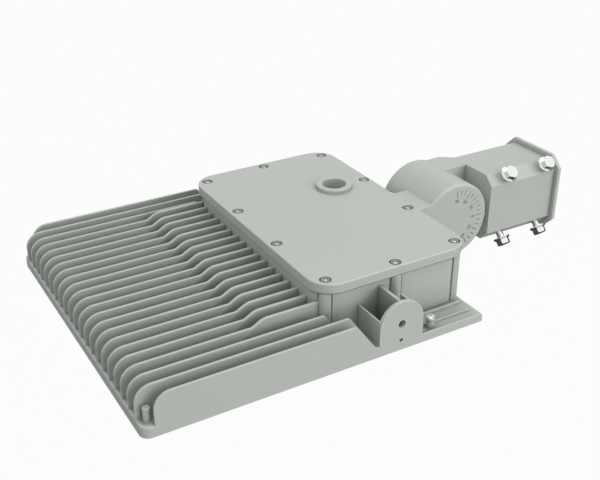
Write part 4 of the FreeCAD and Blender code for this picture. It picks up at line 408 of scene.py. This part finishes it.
class Shape:
    """Points and faces in millimetres, with the piece's own axis along +Z."""

    def __init__(self):
        self.points = []
        self.faces = []

    def ring(self, radius, height, count=RING):
        """Points round the axis; radius is a number or a function of the angle."""
        start = len(self.points)
        for step in range(count):
            angle = 2*math.pi*step/count
            reach = radius(angle) if callable(radius) else radius
            level = height(angle) if callable(height) else height
            self.points.append((reach*math.cos(angle), reach*math.sin(angle), level))
        return list(range(start, start + count))

    def skin(self, lower, upper):
        """Faces between two rings with as many points."""
        count = len(lower)
        for step in range(count):
            after = (step + 1) % count
            self.faces.append((lower[step], lower[after], upper[after], upper[step]))

    def lid(self, ring, downwards=False):
        self.faces.append(tuple(reversed(ring)) if downwards else tuple(ring))

    def turned(self, outline, count=RING):
        """A closed body from (radius, height) corners, lowest first."""
        rings = [self.ring(radius, height, count) for radius, height in outline]
        self.lid(rings[0], downwards=True)
        for lower, upper in zip(rings, rings[1:]):
            self.skin(lower, upper)
        self.lid(rings[-1])
        return self

    def joined(self, other, matrix=None):
        """Adds another shape, moved by a matrix in millimetres."""
        start = len(self.points)
        for point in other.points:
            self.points.append(tuple(matrix @ Vector(point)) if matrix else point)
        self.faces.extend(tuple(start + index for index in face) for face in other.faces)
        return self


def aimed(origin, direction, twist=0.0):
    """Matrix that seats a shape at a point, its axis along a direction."""
    turn = Vector(direction).to_track_quat("Z", "X").to_matrix().to_4x4()
    return Matrix.Translation(Vector(origin)) @ turn @ Matrix.Rotation(twist, 4, "Z")


def make_piece(name, shape, slot, body, nodes=(), finish=None):
    """A mesh object in metres that rides on a body and may replace nodes."""
    mesh = bpy.data.meshes.new(name)
    mesh.from_pydata([tuple(part*MM for part in point) for point in shape.points], [], shape.faces)
    mesh.validate()
    mesh.shade_smooth()
    mesh.set_sharp_from_angle(angle=SMOOTH_BELOW)
    piece = bpy.data.objects.new(name, mesh)
    bpy.context.scene.collection.objects.link(piece)
    mesh.materials.append(FINISHES[finish or slot].material)
    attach(piece, body)
    if nodes:
        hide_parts(*nodes)
    triangles = sum(len(face) - 2 for face in shape.faces)
    print(f"{name}: {triangles} triangles on {body}")
    return piece


def solids_of(node):
    """Lowest and highest corners, in millimetres, of each solid in a node."""
    rough = bmesh.new()
    rough.from_mesh(NODES[node].data)
    bmesh.ops.remove_doubles(rough, verts=rough.verts, dist=1e-6)
    boxes, seen = [], set()
    for start in rough.verts:
        if start in seen:
            continue
        group, queue = [], [start]
        seen.add(start)
        while queue:
            vertex = queue.pop()
            group.append(vertex.co.copy())
            for edge in vertex.link_edges:
                other = edge.other_vert(vertex)
                if other not in seen:
                    seen.add(other)
                    queue.append(other)
        places = np.array([tuple(point) for point in group])/MM
        boxes.append((Vector(places.min(0)), Vector(places.max(0))))
    rough.free()
    return sorted(boxes, key=lambda box: tuple(round(part, 2) for part in box[0]))


# %% [markdown]
# ## Clamp bolts
# Four flanged hexagon bolts grip the tenon. A real hexagon head is chamfered by
# a cone, which leaves the curved edges that say "bolt" at a glance: where the
# hexagon reaches further out than the cone, its top corner is lower. So the
# upper ring of the head takes its height from the angle. The thread is a helix
# of ridges, of which a few turns show between the flange and the casting.

# %% Hexagon heads and threads


def hexagon_reach(flats):
    """Distance from the axis to a hexagon's side at an angle."""
    def reach(angle):
        return flats/2/math.cos((angle + math.pi/6) % (math.pi/3) - math.pi/6)
    return reach


FINE_RING = 72
HEAD_DISH = 0.35
CHAMFER_SLOPE = math.tan(math.radians(30))


def hexagon_head(shape, base, height, flats):
    """A chamfered hexagon with a slightly hollow top, as forging leaves it."""
    reach = hexagon_reach(flats)
    crown = flats/2*1.02
    top = base + height
    low = shape.ring(reach, base, FINE_RING)
    high = shape.ring(reach, lambda angle: top - max(0, reach(angle) - crown)*CHAMFER_SLOPE, FINE_RING)
    rim = shape.ring(lambda angle: min(crown, reach(angle)*0.97), top, FINE_RING)
    inner = shape.ring(crown*0.8, top - HEAD_DISH*0.15, FINE_RING)
    hollow = shape.ring(crown*0.62, top - HEAD_DISH, FINE_RING)
    shape.lid(low, downwards=True)
    for lower, upper in zip((low, high, rim, inner), (high, rim, inner, hollow)):
        shape.skin(lower, upper)
    shape.lid(hollow)


def thread(shape, base, length, radius, pitch, depth, count=24):
    """A helical ridge round a core, from base upwards."""
    root, crest = radius - depth, radius
    steps = int(length/pitch*count)
    start = len(shape.points)
    for step in range(steps + 1):
        angle = 2*math.pi*step/count
        level = base + step/count*pitch
        for reach, rise in ((root, 0), (crest, pitch*0.45), (crest, pitch*0.55)):
            shape.points.append((reach*math.cos(angle), reach*math.sin(angle), level + rise))
    for step in range(steps):
        here, after = start + 3*step, start + 3*step + 3
        shape.faces.append((here, after, after + 1, here + 1))
        shape.faces.append((here + 1, after + 1, after + 2, here + 2))
        if step + count < steps:
            turn = 3*count
            shape.faces.append((here + 2, after + 2, after + turn, here + turn))
    core = root + 0.02
    shape.turned([(root - 0.3, base - 0.4), (core, base), (core, base + length + pitch)], count)


# %% Clamp bolts
SOCKET_RADIUS, TIP_GAP = 31.0, 0.8
CHAMFER_FACE, STAND_OFF = 47.02, 7.3
CLAMP_RADIUS, CLAMP_PITCH, CLAMP_THREAD = 4.0, 1.25, 0.35
CLAMP_FLANGE, CLAMP_FLAT, CLAMP_HEAD = 9.0, 13.2, 6.7


def clamp_bolt():
    """One bolt, measured outwards from the socket's axis."""
    tip, flange = SOCKET_RADIUS + TIP_GAP, CHAMFER_FACE + STAND_OFF
    bolt = Shape()
    thread(bolt, tip + 0.4, flange - tip - 1.8, CLAMP_RADIUS, CLAMP_PITCH, CLAMP_THREAD)
    bolt.turned([(CLAMP_FLANGE - 0.2, flange), (CLAMP_FLANGE, flange + 0.2), (CLAMP_FLANGE, flange + 1.5),
                 (CLAMP_FLANGE - 0.3, flange + 1.8), (CLAMP_FLAT/2 + 0.6, flange + 2.2)], FINE_RING)
    hexagon_head(bolt, flange + 1.6, CLAMP_HEAD, CLAMP_FLAT)
    return bolt


UPPER_TWIST, LOWER_TWIST = 0.59, 0.35
for label, rise, twist in (("upper_clamp_bolts", 1, UPPER_TWIST), ("lower_clamp_bolts", -1, LOWER_TWIST)):
    pair = Shape()
    for low, high in solids_of(label):
        place = ((low.x + high.x)/2, 0, 0)
        pair.joined(clamp_bolt(), aimed(place, (0, -1, rise), twist))
    make_piece(label.replace("bolts", "bolt_pair"), pair, "bright_bolt", "fitter", [label])

# %% [markdown]
# ## Pivot bolt
# The bolt on which the head tilts comes in from the far side, so its hexagon
# lies in a recess that the photograph doesn't show.

# %% Pivot bolt
PIVOT = Vector((-142.5, 0, -0.8))
PIVOT_HEAD, PIVOT_FLAT, PIVOT_RADIUS, PIVOT_PITCH, PIVOT_THREAD = 6, 16, 5.0, 1.5, 0.75
low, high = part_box("pivot_bolt")
pivot = Shape()
head_base = high.y/MM - PIVOT_HEAD
hexagon_head(pivot, head_base, PIVOT_HEAD, PIVOT_FLAT)
thread(pivot, low.y/MM + 0.4, head_base - low.y/MM, PIVOT_RADIUS, PIVOT_PITCH, PIVOT_THREAD)
seated = Shape().joined(pivot, aimed((PIVOT.x, 0, PIVOT.z), (0, 1, 0)))
make_piece("pivot_bolt_turned", seated, "stainless", "head", ["pivot_bolt"])

# %% [markdown]
# ## Screws of the lid
# Ten socket head screws sit in round recesses, each on a washer and nearly flush
# with the lid. From above each shows as a dark ring with a light middle: the ring
# is the gap round the head, and the middle is a painted highlight on the floor of
# the hexagon socket. The floor has its own piece, so that it can have a brighter
# steel than the head.

# %% Lid screws


def socket_screw(radius, height, flats, depth, washer, shank, length):
    """A socket head screw in its washer, its origin under the washer."""
    screw = Shape()
    outline = [(washer - 0.1, 0), (washer, 0.15), (washer, 0.9), (washer - 0.2, 1.0), (radius, 1.1),
               (radius, height - 0.4), (radius - 0.4, height)]
    rings = [screw.ring(reach, level) for reach, level in outline]
    screw.lid(rings[0], downwards=True)
    for lower, upper in zip(rings, rings[1:]):
        screw.skin(lower, upper)
    mouth = screw.ring(hexagon_reach(flats + 0.5), height)
    wall_top = screw.ring(hexagon_reach(flats), height - 0.35)
    wall_foot = screw.ring(hexagon_reach(flats), height - depth)
    for lower, upper in zip((rings[-1], mouth, wall_top), (mouth, wall_top, wall_foot)):
        screw.skin(lower, upper)
    screw.lid(wall_foot)
    thread(screw, -length, length - 1, shank, 0.8, 0.4, 16)
    return screw


HEAD_RADIUS, HEAD_HEIGHT, SOCKET_FLAT, SOCKET_DEPTH, WASHER = 4.4, 5.5, 4.4, 0.6, 5.5
SCREW_RADIUS, SCREW_LENGTH, SCREW_TURN = 2.5, 20, 1.7
SOLID_HEAD, SOCKET_HIGHLIGHT_RADIUS = 5.0, 1.9
lid_screws, socket_floors = Shape(), Shape()
for number, (low, high) in enumerate(solids_of("cover_screws")):
    place = ((low.x + high.x)/2, (low.y + high.y)/2, high.z - SOLID_HEAD)
    seat = aimed(place, (0, 0, 1), number*SCREW_TURN)
    one = socket_screw(HEAD_RADIUS, HEAD_HEIGHT, SOCKET_FLAT, SOCKET_DEPTH, WASHER,
                       SCREW_RADIUS, SCREW_LENGTH)
    lid_screws.joined(one, seat)
    foot = HEAD_HEIGHT - SOCKET_DEPTH
    # the socket floor, in a brighter steel than the head, is a painted highlight
    bright = Shape().turned([(SOCKET_HIGHLIGHT_RADIUS, foot + 0.05), (SOCKET_HIGHLIGHT_RADIUS, foot + 0.2),
                             (SOCKET_HIGHLIGHT_RADIUS - 0.3, foot + 0.35)], 6)
    socket_floors.joined(bright, seat)
make_piece("lid_screw_set", lid_screws, "cover_screw_steel", "head", ["cover_screws"])
make_piece("lid_screw_socket_floors", socket_floors, "cover_screw_steel", "head", ["cover_screws"],
           "stainless")

# %% [markdown]
# ## Grounding screw
# A slotted cheese head screw holds the grounding wire. Its slot runs right
# across, so it is cut with a boolean, which is the plainest way for one screw.

# %% Grounding screw
SLOT_LENGTH, SLOT_WIDTH, SLOT_CUT, SLOT_TURN = 10, 1.3, 2.8, -1.39
GROUND_RADIUS, GROUND_PITCH, GROUND_THREAD = 1.9, 0.7, 0.35
low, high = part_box("ground_screw")
ground_place = ((low.x + high.x)/2/MM, (low.y + high.y)/2/MM, high.z/MM)
ground = Shape()
ground.turned([(3.7, -2.6), (3.9, -2.4), (3.9, -0.8), (3.6, -0.3), (2.9, 0.0), (1.6, 0.15)])
thread(ground, -9.6, 6.4, GROUND_RADIUS, GROUND_PITCH, GROUND_THREAD, 16)
seated = Shape().joined(ground, aimed(ground_place, (0, 0, 1)))
ground_screw = make_piece("ground_screw_slotted", seated, "bright_bolt", "head", ["ground_screw"],
                          "dull_zinc")
cutter_mesh = bpy.data.meshes.new("slot_cutter")
slot_box = bmesh.new()
slot_size = Matrix.Diagonal((SLOT_LENGTH*MM, SLOT_WIDTH*MM, SLOT_CUT*MM, 1))
slot_place = Matrix.Translation(Vector(ground_place)*MM) @ Matrix.Rotation(SLOT_TURN, 4, "Z")
bmesh.ops.create_cube(slot_box, size=1, matrix=slot_place @ slot_size)
slot_box.to_mesh(cutter_mesh)
slot_box.free()
cutter = bpy.data.objects.new("slot_cutter", cutter_mesh)
bpy.context.scene.collection.objects.link(cutter)
slotting = ground_screw.modifiers.new("slot", "BOOLEAN")
slotting.object = cutter
slotting.solver = "EXACT"
bpy.context.view_layer.update()
worked_out = bpy.context.evaluated_depsgraph_get()
cut_mesh = bpy.data.meshes.new_from_object(ground_screw.evaluated_get(worked_out))
ground_screw.modifiers.clear()
ground_screw.data = cut_mesh
bpy.data.objects.remove(cutter)
print("slotted screw", len(cut_mesh.polygons), "faces")

# %% [markdown]
# ## Screws of the light modules
# Eighteen pan head screws hold the lens plates. Their cross recess is the outline
# of a plus sign, which can be given as a distance for each angle, as the hexagon
# was.

# %% Module screws


def cross_reach(width, length):
    """Distance from the axis to the side of a plus sign at an angle."""
    corner = math.atan2(width, length)

    def reach(angle):
        off = abs((angle + math.pi/4) % (math.pi/2) - math.pi/4)
        return length/math.cos(off) if off <= corner else width/math.sin(off)
    return reach


def pan_screw(radius, height, shank, length):
    """A cross recess screw, its origin under the head."""
    screw = Shape()
    outline = [(radius - 0.1, 0), (radius, 0.15), (radius, height*0.45), (radius*0.86, height*0.85),
               (radius*0.62, height)]
    rings = [screw.ring(reach, level, 40) for reach, level in outline]
    screw.lid(rings[0], downwards=True)
    cross = screw.ring(cross_reach(radius*0.14, radius*0.56), height, 40)
    floor = screw.ring(cross_reach(radius*0.10, radius*0.2), height*0.25, 40)
    rings += [cross, floor]
    for lower, upper in zip(rings, rings[1:]):
        screw.skin(lower, upper)
    screw.lid(floor)
    screw.turned([(shank*0.7, -length), (shank, -length + 0.5), (shank, 0.1)], 16)
    return screw


PAN_HEIGHT, PAN_SHANK, PAN_TURN = 1.8, 1.5, 0.9
module_screws = Shape()
for number, (low, high) in enumerate(solids_of("lens_screws")):
    place = ((low.x + high.x)/2, (low.y + high.y)/2, low.z + PAN_HEIGHT)
    one = pan_screw((high.x - low.x)/2, PAN_HEIGHT, PAN_SHANK, high.z - low.z - PAN_HEIGHT)
    module_screws.joined(one, aimed(place, (0, 0, -1), number*PAN_TURN))
make_piece("lens_screw_set", module_screws, "stainless", "head", ["lens_screws"])

# %% [markdown]
# ## Emitters
# Each emitter is a square white package with a round phosphor window. They sit
# behind the lenses and only show from below, but they are what the head is for.

# %% Emitters
COARSE_RING = 16


def square_reach(half):
    """Distance from the axis to a square's side at an angle."""
    def reach(angle):
        return half/max(abs(math.cos(angle)), abs(math.sin(angle)))
    return reach


cases, windows = Shape(), Shape()
for low, high in solids_of("led_chips"):
    middle = (low + high)/2
    half = (high.x - low.x)/2
    seat = aimed((middle.x, middle.y, high.z), (0, 0, -1))
    case = Shape()
    loops = [case.ring(square_reach(half*scale), level, COARSE_RING)
             for scale, level in ((1.0, 0.0), (1.0, 0.45), (0.92, 0.6))]
    loops += [case.ring(half*scale, level, COARSE_RING) for scale, level in ((0.72, 0.6), (0.62, 0.35))]
    case.lid(loops[0], downwards=True)
    for lower, upper in zip(loops, loops[1:]):
        case.skin(lower, upper)
    case.lid(loops[-1])
    cases.joined(case, seat)
    window = Shape().turned([(half*0.61, 0.3), (half*0.6, 0.48), (half*0.4, 0.62), (half*0.15, 0.68)],
                            COARSE_RING)
    windows.joined(window, seat)
make_piece("emitter_cases", cases, "board_white", "head", ["led_chips"], "emitter_case")
make_piece("emitter_windows", windows, "emitter_yellow", "head", ["led_chips"])

# %% [markdown]
# ## Breather
# The breather lets the box breathe without letting water in. Its cap has lobes
# for fingers, so its radius swings with the angle.

# %% Breather
CAP_DEPTH, CAP_LOBES = 6, 12
VENT_RADIUS, VENT_PITCH, VENT_THREAD = 6.0, 1.0, 0.5
low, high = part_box("breather_vent")
vent_middle = (low + high)/2/MM
vent_base = high.x/MM - CAP_DEPTH


def lobed(radius, depth):
    """A radius that dips by a depth between the lobes."""
    return lambda angle: radius - depth*(0.5 - 0.5*math.cos(CAP_LOBES*angle))


vent = Shape()
vent.turned([(8.4, 0.0), (9.0, 0.4), (9.0, 1.2), (lobed(9.0, 0.6), 1.4), (lobed(8.9, 0.7), 4.6),
             (lobed(8.3, 0.7), 5.6), (7.0, 6.0), (5.2, 6.0), (4.9, 5.4)], 96)
thread(vent, -8, 6.6, VENT_RADIUS, VENT_PITCH, VENT_THREAD)
seated = Shape().joined(vent, aimed((vent_base, vent_middle.y, vent_middle.z), (1, 0, 0)))
make_piece("breather_cap", seated, "vent_plastic", "head", ["breather_vent"])

# %% [markdown]
# ## The dial
# Nineteen ticks and seven numbers tell the installer the tilt. The ticks are cut
# in the casting, and here a strip of dark paint lies at the bottom of each as
# painted shade. The numbers are plain figures in the same dark paint, which is
# painted shade of engraved figures too, made from the built-in font and turned to
# read outwards from the axis.

# %% Dial
DIAL_FACE = -38.0
TICK_OUTER, TICK_LONG, TICK_SHORT, TICK_WIDTH, TICK_FLOOR = 35.5, 9.0, 6.0, 0.9, 0.38
TICKS, TICK_TURN = 19, 10
SIDE_GAP, END_GAP, PAINT_DEPTH = 0.02, 0.03, 0.08
# dark strips at the bottom of the ticks are painted shade
painted_tick_shade = Shape()
for step in range(TICKS):
    angle = math.radians(90 - step*TICK_TURN)
    length = TICK_LONG if step % 3 == 0 else TICK_SHORT
    along = Vector((math.cos(angle), 0, math.sin(angle)))
    aside = Vector((-math.sin(angle), 0, math.cos(angle)))*(TICK_WIDTH/2 - SIDE_GAP)
    base = Vector((PIVOT.x, DIAL_FACE + TICK_FLOOR, PIVOT.z))
    inner, outer = base + along*(TICK_OUTER - length + END_GAP), base + along*(TICK_OUTER - END_GAP)
    front = [inner - aside, outer - aside, outer + aside, inner + aside]
    back = [corner + Vector((0, PAINT_DEPTH, 0)) for corner in front]
    tick = Shape()
    tick.points = [tuple(corner) for corner in front + back]
    tick.faces = [(0, 1, 2, 3), (7, 6, 5, 4), (0, 4, 5, 1), (1, 5, 6, 2), (2, 6, 7, 3), (3, 7, 4, 0)]
    painted_tick_shade.joined(tick)
make_piece("dial_tick_paint", painted_tick_shade, "casting_paint", "head", finish="dial_paint")

# %% Dial numbers
LABEL_RADIUS, LABEL_SIZE, LABEL_RELIEF = 23.2, 5.6, 0.12
LABEL_TURN, LABEL_SUNK = 30, 0.03
TOWARDS_VIEWER = Vector((0, -1, 0))
numbers = Shape()
for step, label in enumerate(("90", "60", "30", "0", "30", "60", "90")):
    words = bpy.data.curves.new("label", "FONT")
    words.body = label
    words.align_x, words.align_y = "CENTER", "CENTER"
    words.size = LABEL_SIZE
    words.extrude = LABEL_RELIEF/2
    words.resolution_u = 3
    holder = bpy.data.objects.new("label", words)
    bpy.context.scene.collection.objects.link(holder)
    bpy.context.view_layer.update()
    worked_out = bpy.context.evaluated_depsgraph_get()
    flat = bpy.data.meshes.new_from_object(holder.evaluated_get(worked_out))
    angle = math.radians(90 - step*LABEL_TURN)
    outwards = Vector((math.cos(angle), 0, math.sin(angle)))
    across = Vector((math.sin(angle), 0, -math.cos(angle)))
    middle = Vector((PIVOT.x, DIAL_FACE - LABEL_RELIEF/2 + LABEL_SUNK, PIVOT.z)) + outwards*LABEL_RADIUS
    figure = Shape()
    figure.points = [tuple(middle + across*point.co.x + outwards*point.co.y + TOWARDS_VIEWER*point.co.z)
                     for point in flat.vertices]
    figure.faces = [tuple(face.vertices) for face in flat.polygons]
    numbers.joined(figure)
    bpy.data.objects.remove(holder)
# the dark numbers are painted shade of engraved figures
make_piece("dial_numbers", numbers, "casting_paint", "head", finish="dial_paint")

# %% [markdown]
# ## Floor and light
# The photograph is a catalogue picture: a white ground, soft light from all
# sides, a little more from above and from the near side, and little from the
# front. The world gives the even part, and shows white to the camera and in
# reflections. Two large lamps give the rest, and a small one is there only to be
# mirrored in the bolts. The head is held by its pole and can hang straight down,
# so the white floor lies well below it and takes only a very soft shadow.

# %% Floor
FLOOR_DROP, FLOOR_REACH = 1.15, 30.0
FLOOR_GREY, WHITE_SHARE = 0.55, 0.96
AROUND = ((0, 0), (1, 0), (1, 1), (0, 1))


def make_matt(name, grey):
    """A plain matt finish, whose roughness varies a little."""
    finish = Finish(name, (grey, grey, grey), 0.9)
    finish.feed("Roughness", 0.85 + finish.noise(0.01, 2.0)*0.1)
    return finish


def sheet(name, corners, finish):
    """A flat object with four corners."""
    mesh = bpy.data.meshes.new(name)
    mesh.from_pydata(corners, [], [(0, 1, 2, 3)])
    mesh.materials.append(finish.material)
    made = bpy.data.objects.new(name, mesh)
    bpy.context.scene.collection.objects.link(made)
    print(name, "between", *([round(part, 2) for part in corner] for corner in (corners[0], corners[2])))
    return made


floor_finish = make_matt("floor_white", FLOOR_GREY)
white_paper = floor_finish.node("ShaderNodeEmission", None, {"Color": (1, 1, 1, 1), "Strength": 1.0})
shown = floor_finish.node("ShaderNodeMixShader", None,
                          {0: floor_finish.white_rays(WHITE_SHARE),
                           1: Field(floor_finish, floor_finish.shader.outputs[0]), 2: white_paper})
floor_finish.join(floor_finish.tree.nodes["Material Output"].inputs["Surface"], shown)
ends = (-FLOOR_REACH, FLOOR_REACH)
level = cad_low.z - FLOOR_DROP
floor = sheet("floor", [(ends[side], ends[depth], level) for side, depth in AROUND], floor_finish)

# %% World and lamps
AMBIENT = 0.60
world = bpy.data.worlds.new("studio")
bpy.context.scene.world = world
sky = Graph(world)
even = sky.node("ShaderNodeBackground", None, {"Color": (0.97, 0.99, 1.0, 1), "Strength": AMBIENT})
white = sky.node("ShaderNodeBackground", None, {"Color": (1, 1, 1, 1), "Strength": 1.0})
mixed = sky.node("ShaderNodeMixShader", None, {0: sky.white_rays(1.0), 1: even, 2: white})
sky.join(sky.tree.nodes["World Output"].inputs["Surface"], mixed)


def softbox(name, place, aim, width, height, power, colour=(1, 1, 1), mirrored=False):
    """A rectangular lamp that either lights matt surfaces or shows in glossy ones."""
    data = bpy.data.lights.new(name, "AREA")
    data.shape = "RECTANGLE"
    data.size, data.size_y = width, height
    data.energy = power
    data.color = colour
    lamp = bpy.data.objects.new(name, data)
    lamp.location = place
    lamp.rotation_mode = "QUATERNION"
    lamp.rotation_quaternion = (Vector(place) - Vector(aim)).to_track_quat("Z", "Y")
    lamp.visible_glossy = mirrored
    lamp.visible_diffuse = not mirrored
    bpy.context.scene.collection.objects.link(lamp)
    print(f"lamp {name}: {power} W from {[round(part, 2) for part in place]}")


MIDDLE = (cad_low + cad_high)/2
OVERHEAD_WATTS, NEAR_WATTS, GLINT_WATTS = 11.4, 25, 16
GLINT_DIRECTION, GLINT_DISTANCE = Vector((0.446, -0.026, 0.895)), 1.9
softbox("overhead", (-0.35, 0.0, 1.9), MIDDLE, 2.4, 2.4, OVERHEAD_WATTS)
softbox("near_side", (0.45, -2.0, 0.7), MIDDLE, 2.4, 1.4, NEAR_WATTS, (1, 0.98, 0.965))
softbox("glint", MIDDLE + GLINT_DIRECTION*GLINT_DISTANCE, MIDDLE, 0.5, 0.5, GLINT_WATTS, mirrored=True)

# %% [markdown]
# Plated bolts look like metal only if they have something dark to mirror. A
# photographer sets up black cards for that: one under the object, and one beyond
# the fitter. They show in reflections alone, so the floor stays white and nothing
# else gets darker.

# %% Black cards
CARD_GREY, CARD_DROP = 0.03, 0.45
BELOW_ALONG, BELOW_ACROSS = (-2.5, 2.0), (-2.2, 2.2)
BEYOND_PLACE, BEYOND_ACROSS, BEYOND_TOP = 0.9, (-1.2, 1.0), 0.30
card_finish = make_matt("card_black", CARD_GREY)


def black_card(name, corners):
    """A dark sheet that shows in reflections alone."""
    card = sheet(name, corners, card_finish)
    card.visible_camera = False
    card.visible_diffuse = False
    card.visible_transmission = False
    card.visible_shadow = False


level = cad_low.z - CARD_DROP
heights = (level, BEYOND_TOP)
black_card("card_below", [(BELOW_ALONG[along], BELOW_ACROSS[across], level) for along, across in AROUND])
black_card("card_beyond", [(BEYOND_PLACE, BEYOND_ACROSS[across], heights[up]) for across, up in AROUND])

# %% [markdown]
# ## Closing
# The plain view transform shows each colour as it is written.

# %% Closing
bpy.context.scene.view_settings.view_transform = "Standard"
